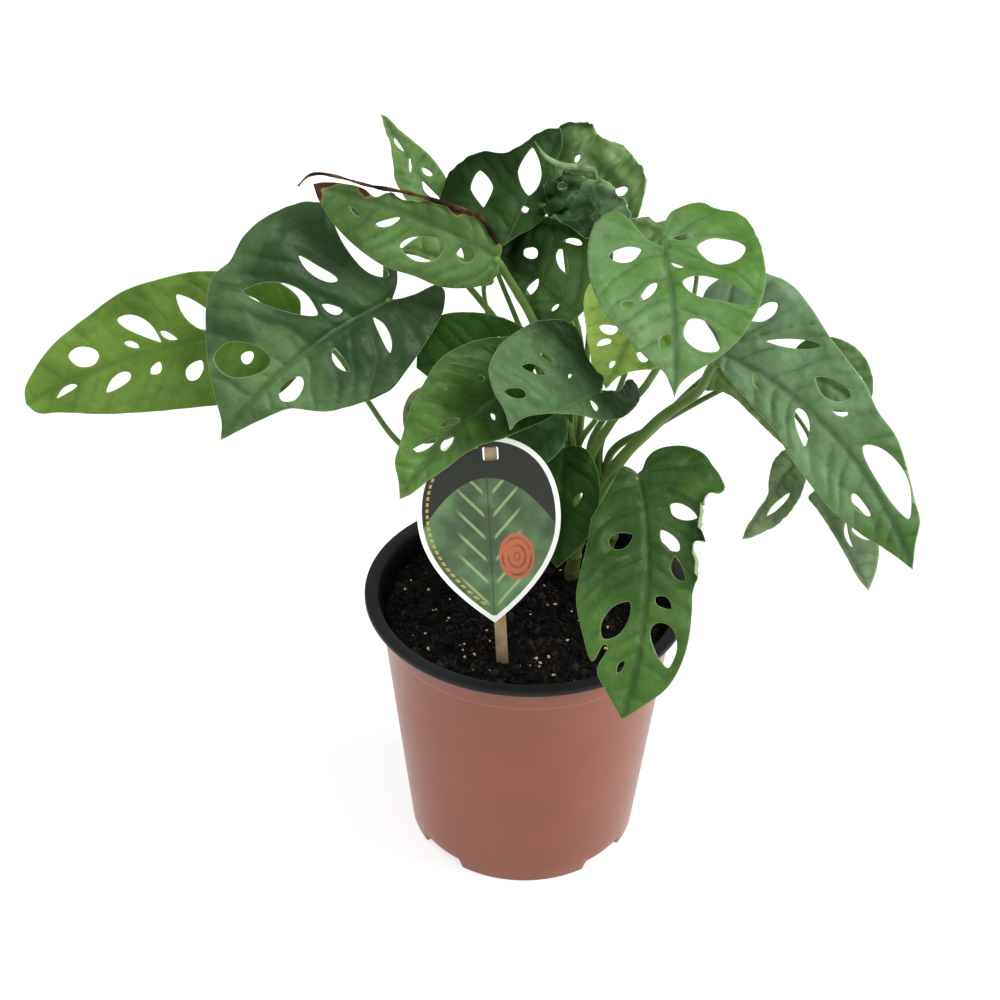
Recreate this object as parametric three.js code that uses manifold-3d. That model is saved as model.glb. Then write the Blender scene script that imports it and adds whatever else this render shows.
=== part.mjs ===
// Potted monstera with holed leaves, a wooden stick and a card, in millimetres.
// Origin at the centre of the pot's base, +Z up, the front of the plant towards -Y.

import * as THREE from 'three';
import * as BufferGeometryUtils from 'three/addons/utils/BufferGeometryUtils.js';
import Module from 'manifold-3d';

const wasm = await Module();
wasm.setup();

// Driving sizes
const POT_HEIGHT = 152.5;
const POT_BASE_RADIUS = 62.1;
const POT_NECK_RADIUS = 77.6;
const POT_RIM_RADIUS = 85;
const POT_WALL = 1.8;
const POT_FLOOR = 8;
const POT_SIDES = 48;
const NOTCH_HEIGHT = 5.5;
const NOTCH_WIDTH = 29.6;
const SOIL_TOP = 142;
const GAP = 0.35;
const STEM_RADIUS = 4;
const STEM_DEPTH = 20;
const BLADE = 0.8;
const STICK = { width: 6, thickness: 2, below: -54, above: 91.5, offset: 2.5 };
const CARD = { width: 70, length: 98, thickness: 1.2, foot: [-16.6, -45, 164.3], head: [-23, -22, 259.7] };

const group = new THREE.Group();

// Joining and cutting

function toSolid(geometry) {
  const bare = new THREE.BufferGeometry();
  bare.setAttribute('position', geometry.getAttribute('position').clone());
  if (geometry.index) {
    bare.setIndex(geometry.index.clone());
  }
  const merged = BufferGeometryUtils.mergeVertices(bare, 1e-4);
  const corners = merged.index.array;
  const kept = [];
  for (let i = 0; i < corners.length; i += 3) {
    const [a, b, c] = [corners[i], corners[i + 1], corners[i + 2]];
    if (a !== b && b !== c && c !== a) {
      kept.push(a, b, c);
    }
  }
  const solid = new wasm.Manifold(new wasm.Mesh({
    numProp: 3,
    vertProperties: new Float32Array(merged.getAttribute('position').array),
    triVerts: new Uint32Array(kept),
  }));
  return solid;
}

function fromSolid(solid) {
  const mesh = solid.getMesh();
  const geometry = new THREE.BufferGeometry();
  geometry.setAttribute('position', new THREE.BufferAttribute(new Float32Array(mesh.vertProperties), 3));
  geometry.setIndex(new THREE.BufferAttribute(new Uint32Array(mesh.triVerts), 1));
  geometry.computeVertexNormals();
  return geometry;
}

function addMesh(name, geometry, color, roughness = 0.6) {
  const material = new THREE.MeshStandardMaterial({ color, roughness, metalness: 0 });
  const mesh = new THREE.Mesh(geometry, material);
  mesh.name = name;
  group.add(mesh);
  return mesh;
}

// Tubes: round, six-sided, thinner towards their end

function tube(points, startRadius, endRadius, steps, sides = 6) {
  const curve = new THREE.CatmullRomCurve3(points.map((p) => new THREE.Vector3(...p)), false, 'centripetal');
  const ring = new THREE.Shape();
  for (let i = 0; i < sides; i += 1) {
    const angle = (i / sides) * Math.PI * 2;
    ring[i === 0 ? 'moveTo' : 'lineTo'](Math.cos(angle) * startRadius, Math.sin(angle) * startRadius);
  }
  ring.closePath();
  const geometry = new THREE.ExtrudeGeometry(ring, { steps, extrudePath: curve, bevelEnabled: false });
  const centres = curve.getSpacedPoints(steps);
  const position = geometry.getAttribute('position');
  const vertex = new THREE.Vector3();
  for (let i = 0; i < position.count; i += 1) {
    vertex.fromBufferAttribute(position, i);
    let near = 0;
    for (let k = 1; k <= steps; k += 1) {
      if (vertex.distanceToSquared(centres[k]) < vertex.distanceToSquared(centres[near])) {
        near = k;
      }
    }
    const scale = 1 + (endRadius / startRadius - 1) * (near / steps);
    vertex.sub(centres[near]).multiplyScalar(scale).add(centres[near]);
    position.setXYZ(i, vertex.x, vertex.y, vertex.z);
  }
  return geometry;
}

// Pot

function potProfile() {
  const slope = (POT_NECK_RADIUS - POT_BASE_RADIUS) / 149.5;
  const wallAt = (z) => POT_BASE_RADIUS + slope * z;
  return [
    [0, 0],
    [POT_BASE_RADIUS, 0],
    [wallAt(134), 134],
    [wallAt(134) + 0.8, 135.4],
    [POT_NECK_RADIUS + 0.8, 149.2],
    [POT_RIM_RADIUS - 0.8, 149.2],
    [POT_RIM_RADIUS, 150],
    [POT_RIM_RADIUS, POT_HEIGHT - 0.6],
    [POT_RIM_RADIUS - 0.6, POT_HEIGHT],
    [79.4, POT_HEIGHT],
    [77.6, POT_HEIGHT - 1.2],
    [wallAt(147) - POT_WALL + 0.5, 147],
    [wallAt(POT_FLOOR) - POT_WALL, POT_FLOOR],
    [0, POT_FLOOR],
  ];
}

function lathe(profile, sides) {
  const points = profile.map(([r, z]) => new THREE.Vector2(r, z));
  const geometry = new THREE.LatheGeometry(points, sides);
  geometry.rotateX(Math.PI / 2);
  return geometry;
}

function notch(angle) {
  const shape = new THREE.Shape();
  shape.moveTo(-NOTCH_WIDTH / 2, -1);
  shape.lineTo(NOTCH_WIDTH / 2, -1);
  shape.lineTo(NOTCH_WIDTH / 2 - 2.5, NOTCH_HEIGHT);
  shape.lineTo(-NOTCH_WIDTH / 2 + 2.5, NOTCH_HEIGHT);
  shape.closePath();
  const geometry = new THREE.ExtrudeGeometry(shape, { depth: 16, bevelEnabled: false });
  geometry.rotateX(Math.PI / 2);
  geometry.translate(0, 70, 0);
  geometry.rotateZ(angle);
  return geometry;
}

let potSolid = toSolid(lathe(potProfile(), POT_SIDES));
for (const turn of [45, 135, 225, 315]) {
  potSolid = potSolid.subtract(toSolid(notch(THREE.MathUtils.degToRad(turn))));
}
addMesh('pot', fromSolid(potSolid), 0xa0695a, 0.55);

// Card and stick share one leaning frame: x across, y up the card, z towards the front.

const cardFrame = new THREE.Matrix4();
const cardUp = new THREE.Vector3(...CARD.head).sub(new THREE.Vector3(...CARD.foot)).normalize();
const cardAcross = new THREE.Vector3(1, 0, 0).addScaledVector(cardUp, -cardUp.x).normalize();
const cardOut = new THREE.Vector3().crossVectors(cardAcross, cardUp);
cardFrame.makeBasis(cardAcross, cardUp, cardOut).setPosition(...CARD.foot);

function cardShape() {
  const w = CARD.width / 2;
  const h = CARD.length;
  const shape = new THREE.Shape();
  shape.moveTo(0, 0);
  shape.bezierCurveTo(w * 0.55, h * 0.16, w, h * 0.34, w, h * 0.58);
  shape.bezierCurveTo(w, h * 0.84, w * 0.62, h, 0, h);
  shape.bezierCurveTo(-w * 0.62, h, -w, h * 0.84, -w, h * 0.58);
  shape.bezierCurveTo(-w, h * 0.34, -w * 0.55, h * 0.16, 0, 0);
  const slot = new THREE.Path();
  slot.moveTo(-4, 85);
  slot.lineTo(9, 85);
  slot.lineTo(9, 93);
  slot.lineTo(-4, 93);
  slot.closePath();
  shape.holes.push(slot);
  return shape;
}

const cardGeometry = new THREE.ExtrudeGeometry(cardShape(), {
  depth: CARD.thickness,
  bevelEnabled: false,
  curveSegments: 10,
});
cardGeometry.applyMatrix4(cardFrame);
addMesh('label_card', fromSolid(toSolid(cardGeometry)), 0xdfe2d0, 0.5);

function stickBox(extra) {
  const length = STICK.above - STICK.below + extra;
  const box = new THREE.BoxGeometry(STICK.width + extra, length, STICK.thickness + extra);
  box.translate(STICK.offset, STICK.above - length / 2, -GAP - STICK.thickness / 2);
  box.applyMatrix4(cardFrame);
  return box;
}
addMesh('label_stick', fromSolid(toSolid(stickBox(0))), 0xc9a777, 0.7);

// Leaf blades. Each has its own frame: u runs from the base (0) to the tip (100) and v across,
// both in hundredths of its length. Face turns the blade about its midrib, 0 being face up.
// Bend arches the midrib, curl rounds each half, fold lifts both halves from the midrib.

function bladeFrame(leaf) {
  const base = new THREE.Vector3(...leaf.base);
  const along = new THREE.Vector3(...leaf.tip).sub(base);
  const chord = along.length();
  along.normalize();
  const up = new THREE.Vector3(0, 0, 1).addScaledVector(along, -along.z).normalize();
  const face = THREE.MathUtils.degToRad(leaf.face);
  const side = new THREE.Vector3().crossVectors(along, up);
  const normal = up.multiplyScalar(Math.cos(face)).addScaledVector(side, Math.sin(face));
  const across = new THREE.Vector3().crossVectors(normal, along);
  const bend = THREE.MathUtils.degToRad(leaf.bend);
  const radius = chord / (2 * Math.sin(bend / 2));
  return { base, along, normal, across, chord, bend, radius, length: radius * bend };
}

function bladePoint(leaf, frame, u, v) {
  const t = u / 100;
  const turn = frame.bend * (t - 0.5);
  const point = frame.base.clone();
  point.addScaledVector(frame.along, frame.chord / 2 + frame.radius * Math.sin(turn));
  point.addScaledVector(frame.normal, frame.radius * (Math.cos(turn) - Math.cos(frame.bend / 2)));
  const out = frame.normal.clone().multiplyScalar(Math.cos(turn));
  out.addScaledVector(frame.along, Math.sin(turn));
  const w = Math.abs(v) / 100;
  const curl = THREE.MathUtils.degToRad(Math.max(v >= 0 ? leaf.curl[0] : leaf.curl[1], 0.5));
  const fold = THREE.MathUtils.degToRad(leaf.fold);
  const reach = Math.sin(curl * w) / curl;
  const drop = -(1 - Math.cos(curl * w)) / curl;
  const [size, count, start] = leaf.wave;
  const phase = 2 * Math.PI * (count * t + start + (v >= 0 ? 0 : 0.35));
  const wave = (size / 100) * (w / 0.5) ** 2 * Math.sin(phase);
  const x = reach * Math.cos(fold) - drop * Math.sin(fold);
  const y = reach * Math.sin(fold) + drop * Math.cos(fold) + wave;
  point.addScaledVector(frame.across, Math.sign(v) * x * frame.length);
  point.addScaledVector(out, y * frame.length);
  return point;
}

function bladeNormal(leaf, frame, u, v) {
  const du = bladePoint(leaf, frame, u + 0.5, v).sub(bladePoint(leaf, frame, u - 0.5, v));
  const dv = bladePoint(leaf, frame, u, v + 0.5).sub(bladePoint(leaf, frame, u, v - 0.5));
  return new THREE.Vector3().crossVectors(du, dv).normalize();
}

// Smooth closed edge through the left side, the tip and the right side, sharp at the tip and the base

function edgeLoop(leaf, spacing) {
  const left = leaf.left.map(([u, v]) => new THREE.Vector3(u, v, 0));
  const right = leaf.right.map(([u, v]) => new THREE.Vector3(u, -v, 0)).reverse();
  const base = new THREE.Vector3(0, 0, 0);
  const tip = new THREE.Vector3(100, 0, 0);
  const loop = [];
  for (const run of [[base, ...left, tip], [tip, ...right, base]]) {
    const curve = new THREE.CatmullRomCurve3(run, false, 'centripetal');
    const count = Math.max(6, Math.round(curve.getLength() / spacing));
    const points = curve.getSpacedPoints(count);
    points.pop();
    loop.push(...points.map((p) => [p.x, p.y]));
  }
  return loop;
}

function holeLoop([u, v, long, wide, turn], spacing) {
  const side = Math.sign(v);
  const angle = THREE.MathUtils.degToRad(turn);
  const count = Math.max(7, Math.min(12, Math.round((long * 2.4) / spacing)));
  const loop = [];
  for (let i = 0; i < count; i += 1) {
    const t = (i / count) * Math.PI * 2;
    const a = (Math.cos(t) * long) / 2;
    const b = (Math.sin(t) * wide) / 2;
    const du = a * Math.cos(angle) - b * Math.sin(angle);
    const dv = a * Math.sin(angle) + b * Math.cos(angle);
    loop.push([u + du, v + side * dv]);
  }
  return loop;
}

function cross(a, b, c) {
  return (b[0] - a[0]) * (c[1] - a[1]) - (b[1] - a[1]) * (c[0] - a[0]);
}

function inCircle(a, b, c, d) {
  const rows = [a, b, c].map((p) => [p[0] - d[0], p[1] - d[1]]);
  const squares = rows.map(([x, y]) => x * x + y * y);
  return squares[0] * (rows[1][0] * rows[2][1] - rows[2][0] * rows[1][1])
    - squares[1] * (rows[0][0] * rows[2][1] - rows[2][0] * rows[0][1])
    + squares[2] * (rows[0][0] * rows[1][1] - rows[1][0] * rows[0][1]) > 1e-7;
}

function triangulate(outline, holes, inner) {
  const vectors = (loop) => loop.map(([x, y]) => new THREE.Vector2(x, y));
  const points = [...outline, ...holes.flat()];
  const triangles = THREE.ShapeUtils.triangulateShape(vectors(outline), holes.map(vectors));
  for (const triangle of triangles) {
    if (cross(...triangle.map((i) => points[i])) < 0) {
      triangle.reverse();
    }
  }
  for (const point of inner) {
    const at = triangles.findIndex(([a, b, c]) => cross(points[a], points[b], point) > 1e-6
      && cross(points[b], points[c], point) > 1e-6
      && cross(points[c], points[a], point) > 1e-6);
    if (at >= 0) {
      const [a, b, c] = triangles[at];
      const n = points.push(point) - 1;
      triangles.splice(at, 1, [a, b, n], [b, c, n], [c, a, n]);
    }
  }
  for (let pass = 0; pass < 60; pass += 1) {
    const edges = new Map();
    const done = new Set();
    let flips = 0;
    triangles.forEach((triangle, t) => {
      for (let k = 0; k < 3; k += 1) {
        edges.set(`${triangle[k]}_${triangle[(k + 1) % 3]}`, [t, triangle[(k + 2) % 3]]);
      }
    });
    for (const [key, [t, c]] of edges) {
      const [a, b] = key.split('_').map(Number);
      const other = edges.get(`${b}_${a}`);
      if (a < b && other && !done.has(t) && !done.has(other[0])) {
        const d = other[1];
        const [pa, pb, pc, pd] = [a, b, c, d].map((i) => points[i]);
        if (inCircle(pa, pb, pc, pd) && cross(pc, pa, pd) > 1e-9 && cross(pd, pb, pc) > 1e-9) {
          triangles[t] = [c, a, d];
          triangles[other[0]] = [d, b, c];
          done.add(t).add(other[0]);
          flips += 1;
        }
      }
    }
    if (flips === 0) {
      break;
    }
  }
  return { points, triangles };
}

// Points inside the edge: a row along the midrib, then an even spread

function innerPoints(loops, step, clear) {
  const outline = loops[0];
  const all = loops.flat();
  const found = [];
  const inside = (loop, x, y) => {
    let odd = false;
    loop.forEach(([x1, y1], i) => {
      const [x2, y2] = loop[(i + 1) % loop.length];
      if ((y1 > y) !== (y2 > y) && x < x1 + ((y - y1) / (y2 - y1)) * (x2 - x1)) {
        odd = !odd;
      }
    });
    return odd;
  };
  const offer = (px, py, room) => {
    const free = all.concat(found).every(([a, b]) => Math.hypot(a - px, b - py) > room);
    if (free && inside(outline, px, py) && !loops.slice(1).some((hole) => inside(hole, px, py))) {
      found.push([px, py]);
    }
  };
  for (let x = 3; x < 98; x += step * 0.8) {
    offer(x, 0, clear * 0.35);
  }
  for (let row = -9; row <= 9; row += 1) {
    for (let x = -62; x < 112; x += step) {
      offer(x + (row % 2 ? step / 2 : 0), row * step * 0.87, clear);
    }
  }
  return found;
}

function bladeGeometry(leaf) {
  const frame = bladeFrame(leaf);
  const spacing = (100 * 6.2) / frame.length;
  const outline = edgeLoop(leaf, spacing);
  const holes = (leaf.holes ?? []).map((hole) => holeLoop(hole, (100 * 5) / frame.length));
  const inner = innerPoints([outline, ...holes], (100 * 15) / frame.length, (100 * 6.5) / frame.length);
  const { points, triangles } = triangulate(outline, holes, inner);
  const count = points.length;
  const positions = [];
  for (const side of [1, -1]) {
    for (const [u, v] of points) {
      const point = bladePoint(leaf, frame, u, v);
      point.addScaledVector(bladeNormal(leaf, frame, u, v), -side * (BLADE / 2));
      positions.push(point.x, point.y, point.z);
    }
  }
  const index = [];
  for (const [a, b, c] of triangles) {
    index.push(c, b, a, a + count, b + count, c + count);
  }
  const used = new Map();
  triangles.forEach((triangle) => {
    for (let k = 0; k < 3; k += 1) {
      used.set(`${triangle[k]}_${triangle[(k + 1) % 3]}`, true);
    }
  });
  for (const key of used.keys()) {
    const [a, b] = key.split('_').map(Number);
    if (!used.has(`${b}_${a}`)) {
      index.push(a, b, a + count, a + count, b, b + count);
    }
  }
  const geometry = new THREE.BufferGeometry();
  geometry.setAttribute('position', new THREE.Float32BufferAttribute(positions, 3));
  geometry.setIndex(index);
  return geometry;
}

// Leaves: name, colour, place and form; left and right edges and the holes, as
// [u, v, length, width, turn], go by the blade's own frame.

const LEAVES = [
  {
    name: 'leaf_far_left', color: 0x5f8232, vine: 0,
    base: [-120, 79, 256], tip: [-260, 41, 235], face: -54,
    bend: 14, fold: 6, curl: [10, 10], wave: [1.5, 2, 0],
    stalk: [[-28, 49, 182], [-68, 57, 203], [-87, 69, 224], [-106, 85, 245]],
    left: [[0, 6], [4, 12], [13, 18], [24, 19], [36, 17], [50, 15], [62, 13], [76, 10], [89, 6], [97, 4]],
    right: [[-1, 7], [-2, 13], [2, 19], [10, 25], [23, 29], [33, 31], [44, 31], [57, 30], [70, 25],
      [85, 18],
      [94, 11], [99, 5]],
    holes: [[35, -17, 16, 7, 55], [55, -16, 16, 5, 43], [46, -11, 6, 2, 39], [59, -11, 5, 2, 33],
      [76, -11, 10, 7, 14], [85, -1, 8, 2, 162], [67, 0.5, 9, 4, 155], [53, -1, 5, 3, 141], [40, 3, 8, 5, 45],
      [21, 3, 5, 4, 40], [17, -18, 12, 3, 39]],
  },
  {
    name: 'leaf_left', color: 0x557a58, vine: 0,
    base: [-70, 44, 297], tip: [-150, -21, 254], face: -42,
    bend: 18, fold: 8, curl: [14, 14], wave: [1.5, 2.5, 0.2],
    stalk: [[5, 54, 234], [-16, 72, 267], [-48, 88, 296], [-72, 79, 306], [-74, 60, 304]],
    left: [[-5, 3], [-13, 5], [-21, 7], [-22, 11], [-15, 18], [4, 25], [19, 29], [31, 31], [49, 25],
      [58, 20],
      [69, 9], [77, 6], [88, 3]],
    right: [[-6, 4], [-11, 9], [-17, 19], [-16, 34], [-11, 46], [-3, 53], [4, 59], [19, 62], [36, 61],
      [46, 57],
      [57, 56], [67, 48], [74, 40], [83, 28], [89, 17], [95, 5]],
    holes: [[19, -30, 19, 5, 70], [25, -13, 9, 4, 54], [40, -30, 32, 11, 56], [70, -20, 23, 15, 42],
      [62, 3, 13, 8, 9], [38, 7, 12, 4, 81], [15, 10, 17, 4, 71], [-3, -26, 33, 9, 85]],
  },
  {
    name: 'leaf_upper_left', color: 0x557d4b, vine: 0,
    base: [-17, 50, 317], tip: [-108, 58, 352], face: -56,
    bend: 22, fold: 0, curl: [30, 20], wave: [1, 2, 0],
    stalk: [[13, 46, 239], [1, 54, 279], [-11, 56, 301]],
    left: [[-2, 7], [2, 14], [11, 20], [23, 24], [37, 24], [53, 25], [70, 21], [83, 15], [94, 7]],
    right: [[1, 6], [5, 8], [13, 12], [18, 18], [23, 15], [33, 14], [43, 13], [55, 9], [64, 10],
      [69, 5], [76, 7],
      [85, 6], [95, 3]],
    holes: [[17, 4, 9, 8, 25], [38, 9, 22, 12, 26], [59, 4, 12, 3, 38], [76, 5, 6, 2, 156]],
  },
  {
    name: 'leaf_top', color: 0x6f9a52, vine: 1,
    base: [-44, 92, 314], tip: [-80, 134, 358], face: -18,
    bend: 10, fold: 12, curl: [8, 8], wave: [0.5, 2, 0],
    stalk: [[16, 79, 231], [0, 101, 267], [-22, 110, 291], [-39, 104, 306]],
    left: [[3, 9], [14, 16], [30, 19], [47, 18], [62, 12], [76, 6], [89, 3]],
    right: [[-1, 10], [7, 16], [20, 17], [32, 17], [48, 16], [63, 12], [81, 6], [94, 3]],
    holes: [[72, 0.5, 12, 3, 1], [53, 2, 12, 2, 148], [43, -7, 9, 4, 160], [29, -2, 18, 4, 165]],
  },
  {
    name: 'leaf_back_left', color: 0x33502a, vine: 1,
    base: [-14, 69, 316], tip: [14, 123, 356], face: 24,
    bend: 10, fold: 0, curl: [40, 25], wave: [1.5, 1.5, 0],
    stalk: [[9, 62, 232], [-9, 75, 273], [-18, 81, 294], [-21, 79, 307]],
    left: [[0, 7], [-1, 23], [2, 42], [9, 55], [19, 58], [37, 59], [51, 53], [60, 44], [63, 30],
      [73, 21], [86, 15],
      [96, 7]],
    right: [[9, 5], [21, 13], [38, 17], [55, 15], [71, 8], [87, 6]],
    holes: [[32, 32, 27, 14, 28], [57, 6, 36, 16, 19], [29, -2, 5, 5, 47]],
  },
  {
    name: 'leaf_back_right', color: 0x6d8f58, vine: 1,
    base: [9, 104, 321], tip: [54, 94, 320], face: 55,
    bend: -20, fold: 0, curl: [20, 20], wave: [2, 2.5, 0],
    stalk: [[24, 85, 228], [21, 107, 265], [16, 116, 299]],
    left: [[-8, 11], [-11, 34], [-12, 64], [-4, 89], [12, 101], [26, 102], [48, 85], [64, 83],
      [86, 65], [101, 45],
      [103, 22]],
    right: [[8, 8], [29, 9], [51, 5], [73, 5], [88, 3]],
    holes: [[75, 28, 16, 10, 6], [21, 58, 11, 5, 70]],
  },
  {
    name: 'leaf_crumpled', color: 0x3e5f4c, vine: 1,
    base: [29, 88, 343], tip: [34, 64, 323], face: 30, bend: 20, fold: 16, curl: [12, 12], wave: [5, 3, 0],
    stalk: [[29, 73, 236], [32, 83, 272], [40, 83, 301], [38, 87, 317], [33, 92, 331]],
    left: [[11, 22], [37, 42], [57, 52], [84, 58], [93, 36]],
    right: [[-14, 25], [-22, 58], [2, 76], [27, 84], [42, 80], [74, 46], [96, 20]],
    holes: [[3, -47, 14, 7, 81]],
  },
  {
    name: 'leaf_centre_back', color: 0x42602f, vine: 1,
    base: [23, 54, 283], tip: [-13, 89, 296], face: -41, bend: 20, fold: 4, curl: [30, 30], wave: [1, 2, 0],
    stalk: [[22, 58, 232], [26, 58, 262]],
    left: [[4, 12], [21, 25], [42, 27], [65, 23], [86, 12]],
    right: [[-1, 17], [10, 41], [34, 64], [59, 73], [87, 65], [107, 48], [114, 29], [111, 12]],
    holes: [[84, -21, 15, 12, 176], [51, -34, 29, 10, 29], [59, -56, 20, 8, 155], [57, 4, 18, 9, 96],
      [24, 6, 9, 5, 82]],
  },
  {
    name: 'leaf_right', color: 0x64965a, vine: 2,
    base: [61, 32, 334], tip: [65, -37, 291], face: 3, bend: 24, fold: 4, curl: [14, 14], wave: [1, 2, 0],
    stalk: [[31, 41, 199], [42, 41, 229], [59, 40, 253], [69, 42, 280], [67, 44, 310]],
    left: [[-12, 2], [-26, 6], [-33, 15], [-36, 27], [-28, 38], [-25, 48], [-14, 55], [7, 58],
      [28, 58], [47, 52],
      [66, 40], [78, 26], [87, 10], [92, 4]],
    right: [[-3, 5], [-12, 12], [-26, 19], [-32, 27], [-24, 36], [-8, 42], [10, 44], [32, 42],
      [50, 35], [65, 23],
      [78, 13], [85, 5], [93, 2]],
    holes: [[6, -22, 19, 10, 74], [-6, 14, 15, 5, 95], [5, 35, 27, 20, 85], [15, 8, 7, 2, 65],
      [35, 30, 42, 14, 68],
      [33, -10, 15, 5, 39], [42, -23, 7, 5, 71], [64, 18, 24, 16, 37], [66, -3, 10, 6, 27]],
  },
  {
    name: 'leaf_yellow_green', color: 0x82a53c, vine: 2,
    base: [55, 41, 300], tip: [36, 1, 273], face: -22, bend: 16, fold: 6, curl: [10, 10], wave: [1, 2, 0],
    stalk: [[32, 50, 206], [44, 51, 237], [55, 53, 280]],
    left: [[-6, 16], [6, 34], [26, 46], [49, 46], [64, 34], [74, 18], [84, 7]],
    right: [[-7, 15], [-6, 38], [7, 53], [28, 53], [52, 42], [73, 29], [86, 21], [95, 9]],
    holes: [[45, -20, 18, 10, 62], [60, -19, 14, 6, 47], [76, -4, 9, 4, 11], [57, 19, 12, 8, 72]],
  },
  {
    name: 'leaf_inner_left', color: 0x86a24e, vine: 0,
    base: [-21, 68, 300], tip: [-66, 72, 312], face: -46,
    bend: 14, fold: 6, curl: [10, 10], wave: [1, 2, 0],
    stalk: [[0, 62, 235], [-18, 69, 259], [-23, 71, 276], [-25, 72, 290]],
    left: [[-5, 10], [6, 17], [32, 14], [57, 8], [80, 5]],
    right: [[1, 13], [14, 24], [39, 30], [66, 28], [85, 17]],
    holes: [[40, -12, 15, 7, 40]],
  },
  {
    name: 'leaf_inner_right', color: 0x55784a, vine: 2,
    base: [81, 71, 315], tip: [44, 77, 327], face: -35,
    bend: 14, fold: 4, curl: [10, 10], wave: [1.5, 2, 0],
    stalk: [[38, 55, 209], [63, 66, 240], [82, 75, 278], [84, 77, 302]],
    left: [[7, 25], [27, 34], [54, 29], [78, 14]],
    right: [[-4, 18], [11, 29], [35, 26], [57, 12], [68, 15], [83, 7]],
  },
  {
    name: 'leaf_front_left', color: 0x3f6b2c, vine: 3,
    base: [-3, -6, 281], tip: [-61, -71, 255], face: -38,
    bend: 22, fold: 6, curl: [16, 16], wave: [1, 2, 0.3],
    stalk: [[16, 34, 220], [7, 13, 258], [1, 1, 273]],
    left: [[-6, 8], [-4, 19], [5, 23], [21, 19], [39, 13], [50, 8], [59, 6], [71, 5], [84, 3], [94, 2]],
    right: [[-12, 3], [-18, 9], [-14, 18], [-6, 26], [5, 32], [21, 37], [35, 38], [47, 35], [63, 30],
      [77, 22],
      [89, 15], [94, 7]],
    holes: [[42, -27, 5, 2, 79], [22, -17, 4, 3, 45], [53, -11, 12, 3, 20], [71, -11, 14, 3, 16],
      [62, -4, 9, 4, 174], [32, 2, 4, 2, 64]],
  },
  {
    name: 'leaf_centre', color: 0x4b7050, vine: 3,
    base: [33, -11, 279], tip: [-11, -60, 286], face: -48,
    bend: 22, fold: 4, curl: [18, 18], wave: [1.5, 2, 0],
    stalk: [[24, 26, 220], [32, 6, 253], [34, -4, 270]],
    left: [[-25, 11], [-54, 6], [-59, 9], [-31, 20], [-7, 24], [15, 21], [33, 13], [47, 8], [58, 6],
      [78, 6],
      [93, 5]],
    right: [[-9, 8], [-1, 19], [0, 32], [-3, 47], [8, 58], [27, 63], [57, 61], [79, 55], [95, 44], [99, 30],
      [98, 16]],
    holes: [[59, -32, 18, 6, 38], [83, -22, 17, 7, 26], [42, -35, 13, 5, 55], [18, 8, 9, 5, 107],
      [29, -18, 6, 2, 166]],
  },
  {
    name: 'leaf_shade_left', color: 0x2d4b22, vine: 0,
    base: [1, 44, 268], tip: [-58, 32, 265], face: -55, bend: 14, fold: 6, curl: [14, 14], wave: [1, 2, 0],
    stalk: [[14, 54, 222], [7, 50, 252]],
    left: [[5, 9], [20, 21], [46, 26], [71, 21], [90, 10]],
    right: [[-3, 10], [5, 21], [25, 33], [51, 40], [74, 40], [89, 26], [97, 13]],
    holes: [[32, -12, 13, 4, 138]],
  },
  {
    name: 'leaf_far_right', color: 0x5f8258, vine: 2,
    base: [94, 27, 279], tip: [180, -68, 217], face: 36,
    bend: 24, fold: 10, curl: [14, 14], wave: [1.5, 2, 0.1],
    stalk: [[38, 38, 187], [65, 40, 230], [85, 38, 250], [91, 36, 266]],
    left: [[-7, 2], [-16, 4], [-23, 11], [-22, 18], [-18, 25], [-11, 30], [0, 33], [12, 32], [23, 30],
      [34, 29],
      [43, 28], [53, 25], [63, 24], [73, 20], [83, 15], [89, 12], [94, 6]],
    right: [[4, 4], [12, 5], [24, 5], [36, 5], [45, 7], [57, 8], [70, 8], [80, 6], [89, 3]],
    holes: [[0, 20, 10, 5, 75], [16, 20, 18, 3, 40], [17, 2, 5, 2, 152], [37, 19, 13, 6, 16],
      [45, 15.5, 5, 2, 33],
      [40, 3, 13, 4, 150], [73, 0.5, 9, 3, 177], [72, 13, 27, 8, 171]],
  },
  {
    name: 'leaf_right_back', color: 0x4d7040, vine: 2,
    base: [131, 44, 265], tip: [171, 29, 246], face: 51, bend: 14, fold: 4, curl: [14, 14], wave: [1, 2, 0],
    stalk: [[43, 52, 202], [68, 53, 221], [98, 51, 243], [123, 49, 258]],
    left: [[-1, 19], [9, 37], [31, 48], [56, 49], [79, 38], [93, 20]],
    right: [[13, 16], [36, 25], [63, 24], [84, 13]],
    holes: [[42, 10, 18, 5, 17], [76, 22, 11, 4, 147]],
  },
  {
    name: 'leaf_low_narrow', color: 0x557848, vine: 2,
    base: [132, 1, 234], tip: [103, -38, 212], face: -2,
    bend: 14, fold: 8, curl: [14, 14], wave: [1.5, 2.5, 0],
    stalk: [[40, 44, 191], [68, 49, 219], [92, 57, 238], [115, 62, 242], [133, 36, 235], [133, 12, 236]],
    left: [[5, 13], [22, 23], [41, 27], [59, 27], [76, 22], [91, 12]],
    right: [[-4, 13], [12, 16], [35, 9], [49, 2], [66, 2], [78, 2], [89, 2]],
    holes: [[54, 13, 30, 6, 170]],
  },
  {
    name: 'leaf_low_right', color: 0x5b7f4a, vine: 2,
    base: [141, -11, 223], tip: [165, -52, 192], face: 36,
    bend: 14, fold: 8, curl: [14, 14], wave: [1, 2, 0],
    stalk: [[41, 46, 186], [71, 53, 214], [95, 64, 233], [119, 69, 238], [143, 42, 226], [143, 8, 222]],
    left: [[11, 12], [25, 23], [48, 29], [69, 26], [85, 16]],
    right: [[3, 8], [18, 6], [40, 4], [68, 3], [86, 3]],
    holes: [[50, 7, 20, 3, 166], [54, 18, 19, 6, 28]],
  },
  {
    name: 'leaf_low_back', color: 0x466638, vine: 2,
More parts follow.
